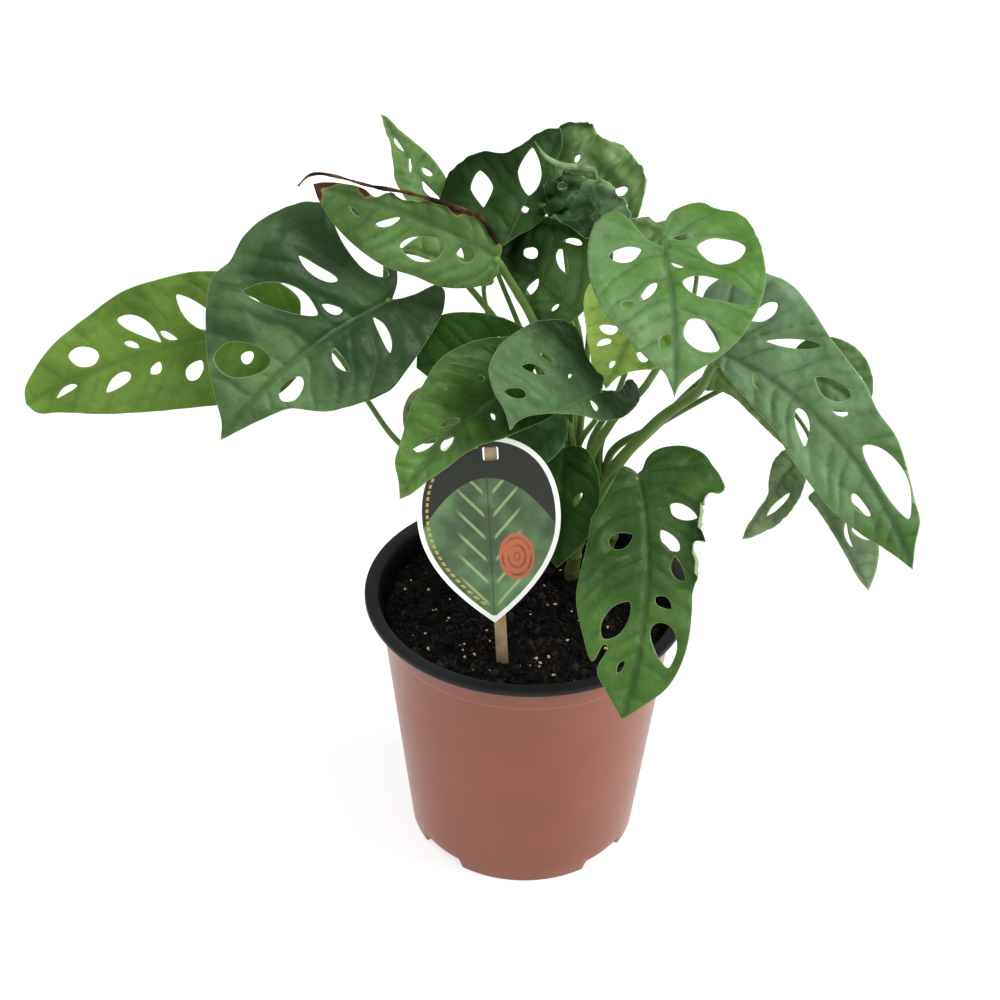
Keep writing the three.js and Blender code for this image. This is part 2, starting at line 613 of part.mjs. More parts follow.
    base: [94, 51, 257], tip: [129, 20, 229], face: 39, bend: 14, fold: 4, curl: [14, 14], wave: [1, 2, 0],
    stalk: [[40, 50, 188], [67, 58, 215], [88, 57, 240]],
    left: [[-4, 13], [16, 24], [49, 24], [80, 14]],
    right: [[2, 15], [12, 21], [20, 13], [35, 6], [59, 4], [82, 2]],
  },
  {
    name: 'leaf_front', color: 0x4d7a35, vine: 3,
    base: [51, -24, 240], tip: [43, -118, 165], face: -4,
    bend: 26, fold: 4, curl: [14, 14], wave: [1.5, 2, 0],
    stalk: [[33, 22, 185], [44, 6, 222], [50, -14, 234]],
    left: [[-2, 2], [-8, 4], [-13, 10], [-15, 18], [-12, 26], [-4, 32], [5, 35], [10, 28], [23, 26],
      [32, 23],
      [38, 25], [48, 24], [58, 24], [70, 23], [80, 20], [87, 16], [94, 8], [97, 4]],
    right: [[-1, 3], [-2, 6], [4, 9], [13, 13], [22, 17], [32, 18], [44, 20], [55, 21], [67, 18], [79, 13],
      [72, 9], [73, 7.5], [82, 11], [91, 6], [97, 2]],
    holes: [[30, -5, 10, 6, 58], [62, -5, 17, 8, 32], [16, 19, 11, 6, 65], [29, 14, 10, 5, 43],
      [40, 18, 10, 4, 23],
      [54, 13, 7, 4, 58], [70, 14, 17, 9, 17], [80, -2, 5, 2, 26]],
  },
  {
    name: 'leaf_shade_front', color: 0x2c4423, vine: 3,
    base: [16, 13, 230], tip: [14, -26, 184], face: -2, bend: 16, fold: 6, curl: [14, 14], wave: [1, 2, 0],
    stalk: [[25, 29, 200], [21, 22, 218]],
    left: [[-3, 8], [0, 20], [14, 29], [35, 33], [59, 30], [79, 21], [91, 9]],
    right: [[0, 9], [7, 20], [26, 27], [49, 28], [69, 22], [87, 11]],
    holes: [[42, 15, 12, 4, 154]],
  },
  {
    name: 'leaf_shade_centre', color: 0x35544a, vine: 3,
    base: [17, 7, 252], tip: [-13, -18, 234], face: -41, bend: 14, fold: 4, curl: [10, 10], wave: [1, 2, 0],
    stalk: [[24, 27, 208], [20, 16, 240]],
    left: [[10, 13], [29, 22], [53, 23], [78, 15]],
    right: [[-1, 11], [12, 23], [37, 32], [61, 32], [83, 21]],
  },
  {
    name: 'leaf_shade_small', color: 0x3b5c30, vine: 0,
    base: [-27, 17, 254], tip: [-61, 0, 242], face: -49, bend: 14, fold: 4, curl: [10, 10], wave: [1, 2, 0],
    stalk: [[6, 45, 209], [-16, 32, 240]],
    left: [[8, 15], [30, 23], [59, 22], [85, 13]],
    right: [[-2, 17], [16, 38], [42, 48], [66, 50], [85, 38], [95, 21]],
  },
];

for (const leaf of LEAVES) {
  const mesh = addMesh(leaf.name, bladeGeometry(leaf), leaf.color, 0.45);
  mesh.geometry.computeVertexNormals();
}

// Vines: a short stem standing in the soil with the stalks of its leaves grown from it.
// A stalk stops just under its blade, behind the base of the midrib.

const VINES = [
  { name: 'vine_left', foot: [8, 44], lean: [-2, 2], color: 0x7a8f4a },
  { name: 'vine_back', foot: [24, 60], lean: [0, 4], color: 0x6f8445 },
  { name: 'vine_right', foot: [42, 40], lean: [3, 1], color: 0x7c9450 },
  { name: 'vine_front', foot: [24, 24], lean: [1, -1], color: 0x6c7f42 },
];

function stalkEnds(leaf, radius) {
  const frame = bladeFrame(leaf);
  const before = new THREE.Vector3(...leaf.stalk[leaf.stalk.length - 1]);
  const seat = bladePoint(leaf, frame, 3, 0);
  const normal = bladeNormal(leaf, frame, 3, 0.3);
  const travel = seat.clone().sub(before).normalize();
  const lean = Math.min(Math.abs(travel.dot(normal)), 1);
  const drop = BLADE / 2 + GAP + radius * Math.sqrt(1 - lean * lean);
  seat.addScaledVector(normal, travel.dot(normal) > 0 ? -drop : drop);
  return [seat.clone().addScaledVector(travel, -4).toArray(), seat.toArray()];
}

const footHoles = [];
VINES.forEach((vine, number) => {
  const [x, y] = vine.foot;
  const [dx, dy] = vine.lean;
  const bottom = SOIL_TOP - STEM_DEPTH;
  const stem = [
    [x, y, bottom],
    [x, y, SOIL_TOP + 2],
    [x + dx, y + dy, SOIL_TOP + 14],
    [x + dx * 2, y + dy * 2, SOIL_TOP + 28],
  ];
  let solid = toSolid(tube(stem, STEM_RADIUS, STEM_RADIUS * 0.8, 6, 8));
  for (const leaf of LEAVES.filter((item) => item.vine === number)) {
    const start = [x + dx, y + dy, SOIL_TOP + 14];
    const path = [start, ...leaf.stalk, ...stalkEnds(leaf, 1.3)];
    solid = solid.add(toSolid(tube(path, 2.6, 1.3, 14)));
  }
  if (number === 1) {
    const spear = [[33, 92, 331], [32, 95, 338], [30.6, 95.4, 344]];
    solid = solid.add(toSolid(tube(spear, 1.4, 1.2, 4)));
  }
  addMesh(vine.name, fromSolid(solid), vine.color, 0.5);
  const hole = new THREE.CylinderGeometry(STEM_RADIUS + GAP, STEM_RADIUS + GAP, 40, 16);
  hole.rotateX(Math.PI / 2);
  hole.translate(x, y, bottom - GAP + 20);
  footHoles.push(hole);
});

// Young leaf, still rolled into a spear
const YOUNG_LEAF = [[30, 95, 345], [27, 93.5, 346.5], [15, 93, 348], [6, 97, 351], [0, 105, 356]];
addMesh('young_leaf', fromSolid(toSolid(tube(YOUNG_LEAF, 2.4, 0.8, 8, 8))), 0xa9bf72, 0.45);

// Dried brown edge of the upper left leaf: a stiff thread along it, curled back at its end
const DRIED_EDGE = [[-17.5, 51.9, 324.8], [-27.6, 56.2, 337.6], [-41.3, 55.6, 343], [-60.8, 55.6, 349.1],
  [-80.2, 56, 352.6], [-97.3, 58.3, 356.4], [-105.6, 59, 357.3], [-110.3, 57.1, 356.8], [-115, 53.4, 353.2]];
addMesh('dried_edge', fromSolid(toSolid(tube(DRIED_EDGE, 1, 0.6, 18))), 0x3a2a1c, 0.8);

// Soil, with plain holes for the stems and the stick

const soilProfile = [
  [0, POT_FLOOR + GAP],
  [60.8, POT_FLOOR + GAP],
  [75.05, SOIL_TOP - 1],
  [60, SOIL_TOP - 0.2],
  [30, SOIL_TOP],
  [0, SOIL_TOP],
];
let soilSolid = toSolid(lathe(soilProfile, POT_SIDES));
for (const hole of footHoles) {
  soilSolid = soilSolid.subtract(toSolid(hole));
}
soilSolid = soilSolid.subtract(toSolid(stickBox(2 * GAP)));
addMesh('soil', fromSolid(soilSolid), 0x2a2320, 0.95);

export default group;
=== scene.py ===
"""Potted monstera with holed leaves: fine surfaces, finishes, light and camera.

Lengths are written in millimetres and turned into metres as the meshes are made.
"""

from __future__ import annotations

import logging
import math
from dataclasses import dataclass, field
from enum import Enum
from typing import Callable, Sequence

import bmesh
import bpy
import numpy as np
from mathutils import Matrix, Vector, geometry, noise

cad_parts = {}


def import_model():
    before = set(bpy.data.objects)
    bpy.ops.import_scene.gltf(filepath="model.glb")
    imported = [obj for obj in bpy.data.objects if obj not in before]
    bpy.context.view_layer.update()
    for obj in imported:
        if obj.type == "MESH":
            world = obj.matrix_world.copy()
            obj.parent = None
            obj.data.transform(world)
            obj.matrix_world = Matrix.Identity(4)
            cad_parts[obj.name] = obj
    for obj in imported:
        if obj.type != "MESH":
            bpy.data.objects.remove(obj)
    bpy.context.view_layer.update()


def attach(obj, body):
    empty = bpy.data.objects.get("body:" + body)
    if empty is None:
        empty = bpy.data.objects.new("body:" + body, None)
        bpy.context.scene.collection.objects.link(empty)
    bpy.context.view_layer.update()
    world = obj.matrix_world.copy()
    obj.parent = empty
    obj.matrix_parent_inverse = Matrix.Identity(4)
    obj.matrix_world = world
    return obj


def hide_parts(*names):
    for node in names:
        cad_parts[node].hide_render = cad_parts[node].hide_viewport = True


LOG = logging.getLogger("potted_monstera")
MM = 0.001
TURN = 2 * math.pi

Pair = tuple[float, float]
Triple = tuple[float, float, float]
Five = tuple[float, float, float, float, float]
Paint = tuple[int, int, int]
Shade = tuple[float, float, float, float]
Piece = bpy.types.Object
Material = bpy.types.Material
Tree = bpy.types.NodeTree
Node = bpy.types.Node
Socket = bpy.types.NodeSocket


# ---- Helpers for curves and meshes


def tone(red: int, green: int, blue: int) -> Shade:
    """Turn an everyday 0-255 colour into the linear colour that shaders take.

    Args:
        red: Red, 0 to 255.
        green: Green, 0 to 255.
        blue: Blue, 0 to 255.

    Returns:
        Linear red, green, blue and an alpha of 1.
    """
    parts = [value / 255.0 for value in (red, green, blue)]
    linear = [v / 12.92 if v <= 0.04045 else ((v + 0.055) / 1.055) ** 2.4 for v in parts]
    return (*linear, 1.0)


def unit(ways: np.ndarray) -> np.ndarray:
    """Scale directions to a length of 1."""
    return ways / np.linalg.norm(ways, axis=-1, keepdims=True)


def bell(away: np.ndarray, width: float) -> np.ndarray:
    """Give 1 where the distance is 0, falling off smoothly over the width."""
    return np.exp(-((away / width) ** 2))


def smooth_path(points: Sequence[Sequence[float]], step: float, least: int = 4) -> np.ndarray:
    """Draw a smooth curve through points and mark it off evenly.

    Args:
        points: The points that the curve goes through.
        step: The wanted distance between two marks.
        least: The smallest number of steps.

    Returns:
        The marks, first and last point included.
    """
    p = np.asarray(points, float)
    p = np.vstack([2 * p[0] - p[1], p, 2 * p[-1] - p[-2]])
    # Each stretch is blended from its four nearest points, in three rounds
    rounds = (((0, 1), (1, 2), (2, 3)), ((0, 2), (1, 3)), ((1, 2),))
    dense = []
    for i in range(1, len(p) - 2):
        rows, t = list(p[i - 1 : i + 3]), [0.0]
        for one, two in zip(rows, rows[1:]):
            t.append(t[-1] + max(np.linalg.norm(two - one), 1e-6) ** 0.5)
        at = np.linspace(t[1], t[2], 24, endpoint=False)[:, None]
        for spans in rounds:
            rows = [
                (t[b] - at) / (t[b] - t[a]) * rows[k] + (at - t[a]) / (t[b] - t[a]) * rows[k + 1]
                for k, (a, b) in enumerate(spans)
            ]
        dense.append(rows[0])
    line = np.vstack([*dense, p[-2][None, :]])
    run = np.concatenate([[0.0], np.cumsum(np.linalg.norm(np.diff(line, axis=0), axis=1))])
    marks = np.linspace(0.0, run[-1], max(least, round(run[-1] / step)) + 1)
    return np.stack([np.interp(marks, run, line[:, k]) for k in range(line.shape[1])], axis=1)


def inside(loop: np.ndarray, spots: np.ndarray) -> np.ndarray:
    """Tell which spots lie inside a closed loop.

    Args:
        loop: The loop's corners, in order.
        spots: The points to test.

    Returns:
        True for each spot inside.
    """
    x, y = spots[:, 0], spots[:, 1]
    odd = np.zeros(len(spots), bool)
    for (x1, y1), (x2, y2) in zip(loop, np.roll(loop, -1, axis=0)):
        if y1 != y2:
            odd ^= ((y1 > y) != (y2 > y)) & (x < x1 + (y - y1) / (y2 - y1) * (x2 - x1))
    return odd


def in_sheet(outline: np.ndarray, holes: Sequence[np.ndarray], spots: np.ndarray) -> np.ndarray:
    """Tell which spots lie inside an outline and outside its holes.

    Args:
        outline: The outer loop.
        holes: The loops of the holes.
        spots: The points to test.

    Returns:
        True for each spot in the sheet.
    """
    keep = inside(outline, spots)
    for hole in holes:
        keep &= ~inside(hole, spots)
    return keep


def nearest(spots: np.ndarray, marks: np.ndarray) -> tuple[np.ndarray, np.ndarray]:
    """Measure from each spot to the nearest mark, some spots at a time.

    Args:
        spots: The points to measure from.
        marks: The points to measure to.

    Returns:
        One distance for each spot and the number of its mark.
    """
    batch = 2000
    far, which = np.empty(len(spots)), np.empty(len(spots), int)
    for start in range(0, len(spots), batch):
        part = slice(start, start + batch)
        gap = ((spots[part][:, None, :] - marks[None, :, :]) ** 2).sum(-1)
        which[part] = gap.argmin(1)
        far[part] = np.sqrt(gap.min(1))
    return far, which


def fill_flat(
    outline: np.ndarray, holes: Sequence[np.ndarray], step: float
) -> tuple[np.ndarray, np.ndarray]:
    """Fill a flat outline with holes by even small triangles.

    Args:
        outline: The outer loop.
        holes: The loops of the holes.
        step: The wanted length of a triangle's side.

    Returns:
        The points and the triangles, anticlockwise.
    """
    row_height, clearance, merge, least_area = 0.866, 0.62, 1e-5, 1e-9
    loops = [outline, *holes]
    rim = np.vstack(loops)
    low, high = outline.min(0), outline.max(0)
    grid = []
    for k, y in enumerate(np.arange(low[1], high[1], step * row_height)):
        xs = np.arange(low[0] + (step / 2 if k % 2 else 0.0), high[0], step)
        grid.append(np.stack([xs, np.full(len(xs), y)], 1))
    spots = np.vstack(grid)
    spots = spots[in_sheet(outline, holes, spots)]
    spots = spots[nearest(spots, rim)[0] > step * clearance]
    edges, start = [], 0
    for loop in loops:
        count = len(loop)
        edges += [(start + k, start + (k + 1) % count) for k in range(count)]
        start += count
    corners = [Vector(p) for p in np.vstack([rim, spots])]
    result = geometry.delaunay_2d_cdt(corners, edges, [], 0, merge)
    flat = np.array([tuple(v) for v in result[0]])
    triangles = np.array([f for f in result[2] if len(f) == 3])
    triangles = triangles[in_sheet(outline, holes, flat[triangles].mean(1))]
    a, b, c = (flat[triangles[:, k]] for k in range(3))
    area = (b[:, 0] - a[:, 0]) * (c[:, 1] - a[:, 1]) - (b[:, 1] - a[:, 1]) * (c[:, 0] - a[:, 0])
    triangles[area < 0] = triangles[area < 0][:, ::-1]
    return flat, triangles[np.abs(area) > least_area]


def rim_edges(triangles: np.ndarray) -> list[tuple[int, int]]:
    """List the edges that only one triangle has, in that triangle's turn.

    Args:
        triangles: The triangles' corners.

    Returns:
        Pairs of corners.
    """
    turned = {}
    for a, b, c in triangles.tolist():
        for pair in ((a, b), (b, c), (c, a)):
            turned[pair] = True
    return [pair for pair in turned if (pair[1], pair[0]) not in turned]


def put_up(name: str, mesh: bpy.types.Mesh) -> Piece:
    """Shade a mesh smooth and put it in the scene.

    Args:
        name: The piece's name.
        mesh: The mesh, in metres.

    Returns:
        The new piece.
    """
    mesh.polygons.foreach_set("use_smooth", [True] * len(mesh.polygons))
    mesh.update()
    piece = bpy.data.objects.new(name, mesh)
    bpy.context.scene.collection.objects.link(piece)
    return piece


def make_object(name: str, points: np.ndarray, faces: Sequence[Sequence[int]]) -> Piece:
    """Make a piece from corners given in millimetres.

    Args:
        name: The piece's name.
        points: The corners, in millimetres.
        faces: The faces, as corner numbers.

    Returns:
        The new piece, already in the scene.
    """
    mesh = bpy.data.meshes.new(name)
    mesh.from_pydata((np.asarray(points) * MM).tolist(), [], [list(map(int, f)) for f in faces])
    mesh.validate()
    return put_up(name, mesh)


def mark(piece: Piece, name: str, values: np.ndarray) -> None:
    """Store one number for each corner of a piece.

    Args:
        piece: The piece.
        name: The attribute's name.
        values: The numbers, one for each corner.
    """
    layer = piece.data.attributes.new(name, "FLOAT", "POINT")
    layer.data.foreach_set("value", np.asarray(values, np.float32))


def thin_sheet(name: str, top: np.ndarray, under: np.ndarray, triangles: np.ndarray) -> Piece:
    """Close a thin sheet round its rim and mark its back.

    Args:
        name: The piece's name.
        top: The corners of the upper side, in millimetres.
        under: The corners of the lower side, in the same order.
        triangles: The upper side's triangles.

    Returns:
        The new piece.
    """
    count = len(top)
    faces = triangles.tolist() + (triangles[:, ::-1] + count).tolist()
    faces += [[b, a, a + count, b + count] for a, b in rim_edges(triangles)]
    piece = make_object(name, np.vstack([top, under]), faces)
    mark(piece, "back", np.repeat([0.0, 1.0], count))
    return piece


def face_outwards(piece: Piece) -> None:
    """Merge a closed piece's doubles and turn its faces outwards.

    Args:
        piece: The piece to mend.
    """
    work = bmesh.new()
    work.from_mesh(piece.data)
    bmesh.ops.remove_doubles(work, verts=work.verts, dist=1e-6)
    bmesh.ops.recalc_face_normals(work, faces=work.faces)
    work.to_mesh(piece.data)
    work.free()


def show_as(piece: Piece, nodes: Sequence[str], slot: str, *skins: Material) -> Piece:
    """Dress a piece and let it stand for its solids.

    Args:
        piece: The piece.
        nodes: The solids that it stands for.
        slot: The record's material slot; not used.
        skins: The materials that it still needs.

    Returns:
        The same piece.
    """
    for skin in skins:
        piece.data.materials.append(skin)
    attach(piece, "root")
    if nodes:
        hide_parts(*nodes)
    return piece


# ---- Shader parts

COLOUR, NUMBER = "NodeSocketColor", "NodeSocketFloat"
SKIN_RESULTS = {"Color": COLOUR, "Roughness": NUMBER, "Height": NUMBER}


def add_node(tree: Tree, kind: str, **values: object) -> Node:
    """Add a node and set its plain properties.

    Args:
        tree: The node tree.
        kind: The node's type name.
        values: The properties' values by name.

    Returns:
        The node.
    """
    node = tree.nodes.new(kind)
    for key, value in values.items():
        setattr(node, key, value)
    return node


@dataclass
class Sketch:
    """Short hand for drawing a shader tree."""

    tree: Tree

    def join(self, source: object, target: Socket) -> None:
        """Link a socket to an input, or set the input's plain value.

        Args:
            source: The socket or the value.
            target: The input.
        """
        if isinstance(source, Socket):
            self.tree.links.new(source, target)
        else:
            target.default_value = source

    def math(
        self, operation: str, a: object, b: object = 0.0, c: object = 0.0, clamp: bool = False
    ) -> Socket:
        """Add a sum.

        Args:
            operation: The sum's name.
            a: First value or socket.
            b: Second value or socket.
            c: Third value or socket.
            clamp: Whether the result is kept between 0 and 1.

        Returns:
            The result's socket.
        """
        node = add_node(self.tree, "ShaderNodeMath", operation=operation, use_clamp=clamp)
        for value, socket in zip((a, b, c), node.inputs):
            self.join(value, socket)
        return node.outputs[0]

    def times(self, a: object, b: object) -> Socket:
        """Multiply two values."""
        return self.math("MULTIPLY", a, b)

    def less(self, a: object, b: object) -> Socket:
        """Take the second value from the first."""
        return self.math("SUBTRACT", a, b)

    def flip(self, share: object) -> Socket:
        """Turn 0..1 into 1..0."""
        return self.less(1.0, share)

    def mix(self, share: object, low: object, high: object) -> Socket:
        """Mix two colours.

        Args:
            share: How much of the second colour.
            low: First colour or socket.
            high: Second colour or socket.

        Returns:
            The mixed colour's socket.
        """
        node = add_node(self.tree, "ShaderNodeMix", data_type="RGBA")
        for value, place in ((share, 0), (low, 6), (high, 7)):
            self.join(value, node.inputs[place])
        return node.outputs[2]

    def reach(self, value: object, low: float, high: float) -> Socket:
        """Map a value from low..high to a smooth 0..1.

        Args:
            value: The value's socket.
            low: Where the result is 0.
            high: Where the result is 1.

        Returns:
            The result's socket.
        """
        node = add_node(self.tree, "ShaderNodeMapRange", interpolation_type="SMOOTHSTEP")
        for given, socket in zip((value, low, high), node.inputs):
            self.join(given, socket)
        return node.outputs[0]

    def attribute(self, name: str) -> Socket:
        """Read a piece's own attribute."""
        return add_node(self.tree, "ShaderNodeAttribute", attribute_name=name).outputs["Fac"]

    def grain(self, scale: object, detail: float = 3.0) -> Socket:
        """Add noise on the object's own coordinates.

        Args:
            scale: Waves in a metre, a number or a socket.
            detail: How many finer layers.

        Returns:
            The noise value's socket.
        """
        where = add_node(self.tree, "ShaderNodeTexCoord")
        waves = add_node(self.tree, "ShaderNodeTexNoise")
        sources = {"Scale": scale, "Detail": detail, "Vector": where.outputs["Object"]}
        for key, source in sources.items():
            self.join(source, waves.inputs[key])
        return waves.outputs[0]


def new_group(
    name: str, inputs: dict[str, str], outputs: dict[str, str]
) -> tuple[Sketch, bpy.types.NodeOutputs, bpy.types.NodeInputs]:
    """Start a shader node group.

    Args:
        name: The group's name.
        inputs: Input names and socket types.
        outputs: Output names and socket types.

    Returns:
        The drawing helper, the sockets that give the inputs and those that take the outputs.
    """
    tree = bpy.data.node_groups.new(name, "ShaderNodeTree")
    for way, sockets in (("INPUT", inputs), ("OUTPUT", outputs)):
        for key, kind in sockets.items():
            tree.interface.new_socket(key, in_out=way, socket_type=kind)
    given, out = tree.nodes.new("NodeGroupInput"), tree.nodes.new("NodeGroupOutput")
    return Sketch(tree), given.outputs, out.inputs


def leaf_skin_group() -> Tree:
    """Draw the leaf skin: mottled green, veins, thin pale margin, dry patches, pale back.

    Returns:
        The shader node group.
    """
    names = ["Young Green", "Dark Green", "Rib", "Groove", "Margin", "Back", "Straw", "Dead"]
    inputs = {**dict.fromkeys(names, COLOUR), "Mottle": NUMBER}
    draw, given, out = new_group("leaf_skin", inputs, SKIN_RESULTS)
    # Patches of the two greens, shifted by painted shade towards the base and to one side
    broad = draw.reach(draw.grain(24.0), 0.34, 0.66)
    share = draw.math("MULTIPLY_ADD", broad, given["Mottle"], draw.attribute("painted_light"))
    share = draw.math("SUBTRACT", share, draw.times(given["Mottle"], 0.5), clamp=True)
    colour = draw.mix(share, given["Young Green"], given["Dark Green"])
    # Painted shade in the sunken side veins, along the midrib and in the valleys between swellings,
    # a small grain and the paler midrib
    small = draw.grain(260.0)
    hollow = draw.times(draw.attribute("groove"), 0.8)
    colour = draw.mix(hollow, colour, given["Groove"])
    veil = draw.tree.nodes.new("ShaderNodeHueSaturation")
    draw.join(colour, veil.inputs["Color"])
    draw.join(draw.math("MULTIPLY_ADD", small, 0.4, 0.8), veil.inputs["Value"])
    colour = draw.mix(draw.times(draw.attribute("rib"), 0.24), veil.outputs[0], given["Rib"])
    # Pale margin and back
    edge = draw.flip(draw.reach(draw.attribute("rim"), 0.05, 0.6))
    colour = draw.mix(draw.times(edge, 0.6), colour, given["Margin"])
    lower = draw.mix(hollow, given["Back"], given["Margin"])
    colour = draw.mix(draw.attribute("back"), colour, lower)
    # Dry patches, dead where they are driest
    dry = draw.math("MULTIPLY_ADD", draw.grain(420.0), 0.5, -0.25)
    dry = draw.math("ADD", draw.attribute("dry"), dry)
    dry = draw.times(dry, draw.reach(draw.attribute("dry"), 0.0, 0.15))
    colour = draw.mix(draw.reach(dry, 0.08, 0.3), colour, given["Straw"])
    colour = draw.mix(draw.reach(dry, 0.3, 0.55), colour, given["Dead"])
    draw.join(colour, out["Color"])
    draw.join(draw.math("MULTIPLY_ADD", draw.grain(90.0, 2.0), 0.22, 0.36), out["Roughness"])
    draw.join(draw.math("ADD", draw.times(small, 1.5), draw.grain(800.0, 2.0)), out["Height"])
    return draw.tree


def mottle_group() -> Tree:
    """Draw a plain mottled skin, for plastic, stalks, soil, wood and grains.

    Returns:
        The shader node group.
    """
    inputs = dict.fromkeys(("Light", "Deep", "Low"), COLOUR)
    inputs |= dict.fromkeys(("Patches", "Rough Low", "Rough High"), NUMBER)
    draw, given, out = new_group("mottled_skin", inputs, SKIN_RESULTS)
    broad = draw.reach(draw.grain(given["Patches"], 4.0), 0.3, 0.7)
    fine = draw.grain(900.0)
    colour = draw.mix(broad, given["Light"], given["Deep"])
    # The low colour where a piece marks it; on the pot's inside it is painted shade
    colour = draw.mix(draw.attribute("low"), colour, given["Low"])
    spread = draw.less(given["Rough High"], given["Rough Low"])
    draw.join(colour, out["Color"])
    draw.join(draw.math("MULTIPLY_ADD", fine, spread, given["Rough Low"]), out["Roughness"])
    draw.join(fine, out["Height"])
    return draw.tree


def card_print_group() -> Tree:
    """Draw the card's plain print: white border, green field, dark head, stripes and a disc.

    Returns:
        The shader node group.
    """
    names = ["Border", "Field", "Head", "Stripe", "Disc", "Arc", "Back"]
    draw, given, out = new_group("card_print", dict.fromkeys(names, COLOUR), {"Color": COLOUR})
    where = add_node(draw.tree, "ShaderNodeUVMap", uv_map="UVMap")
    split = draw.tree.nodes.new("ShaderNodeSeparateXYZ")
    draw.join(where.outputs[0], split.inputs[0])
    # Hundredths of the card's width and length, and the distance from its middle line
    x, y = draw.times(split.outputs[0], 100.0), draw.times(split.outputs[1], 100.0)
    side = draw.math("ABSOLUTE", draw.less(x, 50.0))
    # Pale stripes that rise from the middle line to both sides
    rise = draw.less(y, draw.times(side, 0.8))
    beat = draw.math("PINGPONG", draw.math("ADD", rise, 100.0), 6.0)
    stripe = draw.flip(draw.reach(beat, 0.5, 1.6))
    stripe = draw.times(stripe, draw.reach(side, 2.0, 5.0))
    stripe = draw.times(stripe, draw.flip(draw.reach(side, 17.0, 24.0)))
    line = draw.flip(draw.reach(side, 0.3, 0.8))
    shade = draw.mix(draw.reach(draw.grain(45.0), 0.3, 0.7), given["Field"], given["Head"])
    colour = draw.mix(0.75, given["Field"], shade)
    colour = draw.mix(draw.times(stripe, 0.55), colour, given["Stripe"])
    colour = draw.mix(draw.times(line, 0.5), colour, given["Head"])
    # Terracotta disc low on the right
    dx, dy = draw.less(x, 68.0), draw.less(y, 36.0)
    away = draw.math("SQRT", draw.math("ADD", draw.times(dx, dx), draw.times(dy, dy)))
    disc = draw.flip(draw.reach(away, 12.2, 12.8))
    colour = draw.mix(disc, colour, given["Disc"])
    rings = draw.times(draw.reach(draw.math("PINGPONG", away, 2.0), 1.0, 1.8), disc)
    worn = draw.times(rings, draw.reach(draw.grain(160.0, 4.0), 0.35, 0.6))
    colour = draw.mix(draw.times(worn, 0.6), colour, given["Head"])
    # Dark head behind the slot
    dome = draw.math("ADD", y, draw.times(draw.times(side, side), 0.012))
    colour = draw.mix(draw.reach(dome, 78.0, 78.8), colour, given["Head"])
    # Thin arc along the left border, in beats
    line = draw.math("ABSOLUTE", draw.less(draw.attribute("rim"), 5.0))
    line = draw.flip(draw.reach(line, 0.5, 0.8))
    line = draw.times(line, draw.flip(draw.reach(x, 44.0, 46.0)))
    dash = draw.reach(draw.math("PINGPONG", y, 1.6), 0.5, 0.8)
    colour = draw.mix(draw.times(line, dash), colour, given["Arc"])
    # White border and blank back
    rim = draw.flip(draw.reach(draw.attribute("rim"), 2.3, 2.7))
    colour = draw.mix(rim, colour, given["Border"])
    colour = draw.mix(draw.attribute("back"), colour, given["Back"])
    draw.join(colour, out["Color"])
    return draw.tree


def shared_group(name: str, build: Callable[[], Tree]) -> Tree:
    """Give a shared shader group, built the first time it is asked for."""
    return bpy.data.node_groups.get(name) or build()


def new_material(name: str, group: Tree, values: dict[str, object]) -> tuple[Material, Node, Node]:
    """Start a material with one shared group in it.

    Args:
        name: The material's name.
        group: The shared group.
        values: The group's inputs.

    Returns:
        The material, its shader and the group's node.
    """
    material = bpy.data.materials.new(name)
    material.use_nodes = True
    tree = material.node_tree
    shader = tree.nodes["Principled BSDF"]
    node = add_node(tree, "ShaderNodeGroup", node_tree=group)
    for key, value in values.items():
        node.inputs[key].default_value = value
    tree.links.new(node.outputs["Color"], shader.inputs["Base Color"])
    return material, shader, node


def skin_material(
    name: str, group: Tree, values: dict[str, object], gloss: float, depth: float
) -> Material:
    """Make a material whose group also gives roughness and height.

    Args:
        name: The material's name.
        group: The shared group.
        values: The group's inputs.
        gloss: The shader's specular level.
        depth: The height's depth in metres.

    Returns:
        The material.
    """
    material, shader, node = new_material(name, group, values)
    links = material.node_tree.links
    links.new(node.outputs["Roughness"], shader.inputs["Roughness"])
    shader.inputs["Specular IOR Level"].default_value = gloss
    bump = material.node_tree.nodes.new("ShaderNodeBump")
    bump.inputs["Distance"].default_value = depth
    bump.inputs["Strength"].default_value = 1.0
    links.new(node.outputs["Height"], bump.inputs["Height"])
    links.new(bump.outputs[0], shader.inputs["Normal"])
    return material


@dataclass(frozen=True)
class LeafFinish:
    """One leaf's greens: the lighter and darker patches, what the back leans to, and the gloss."""

    young: Paint
    # The darker green, which the painted shade towards the base also leans to
    old: Paint
    paler: Paint = (172, 186, 140)
    gloss: float = 0.28
    mottle: float = 0.8
    depth: float = 0.00016

    def toned(self, towards: Paint, share: float) -> Shade:
        """Mix the lighter green with another colour."""
        return tone(*(round(a + (b - a) * share) for a, b in zip(self.young, towards)))

    def material(self, name: str) -> Material:
        """Make the leaf's material.

        Args:
            name: The material's name.

        Returns:
            The material.
        """
        values = {
            "Young Green": tone(*self.young),
            "Dark Green": tone(*self.old),
            "Rib": self.toned((190, 205, 150), 0.45),
            # The groove colour is painted shade, for the sunken veins and the valleys between
            # swellings
            "Groove": self.toned((10, 30, 8), 0.5),
            "Margin": self.toned((205, 214, 170), 0.45),
            "Back": self.toned(self.paler, 0.42),
            "Straw": tone(136, 112, 70),
            "Dead": tone(66, 44, 30),
            "Mottle": self.mottle,
        }
        group = shared_group("leaf_skin", leaf_skin_group)
        return skin_material(name, group, values, self.gloss, self.depth)


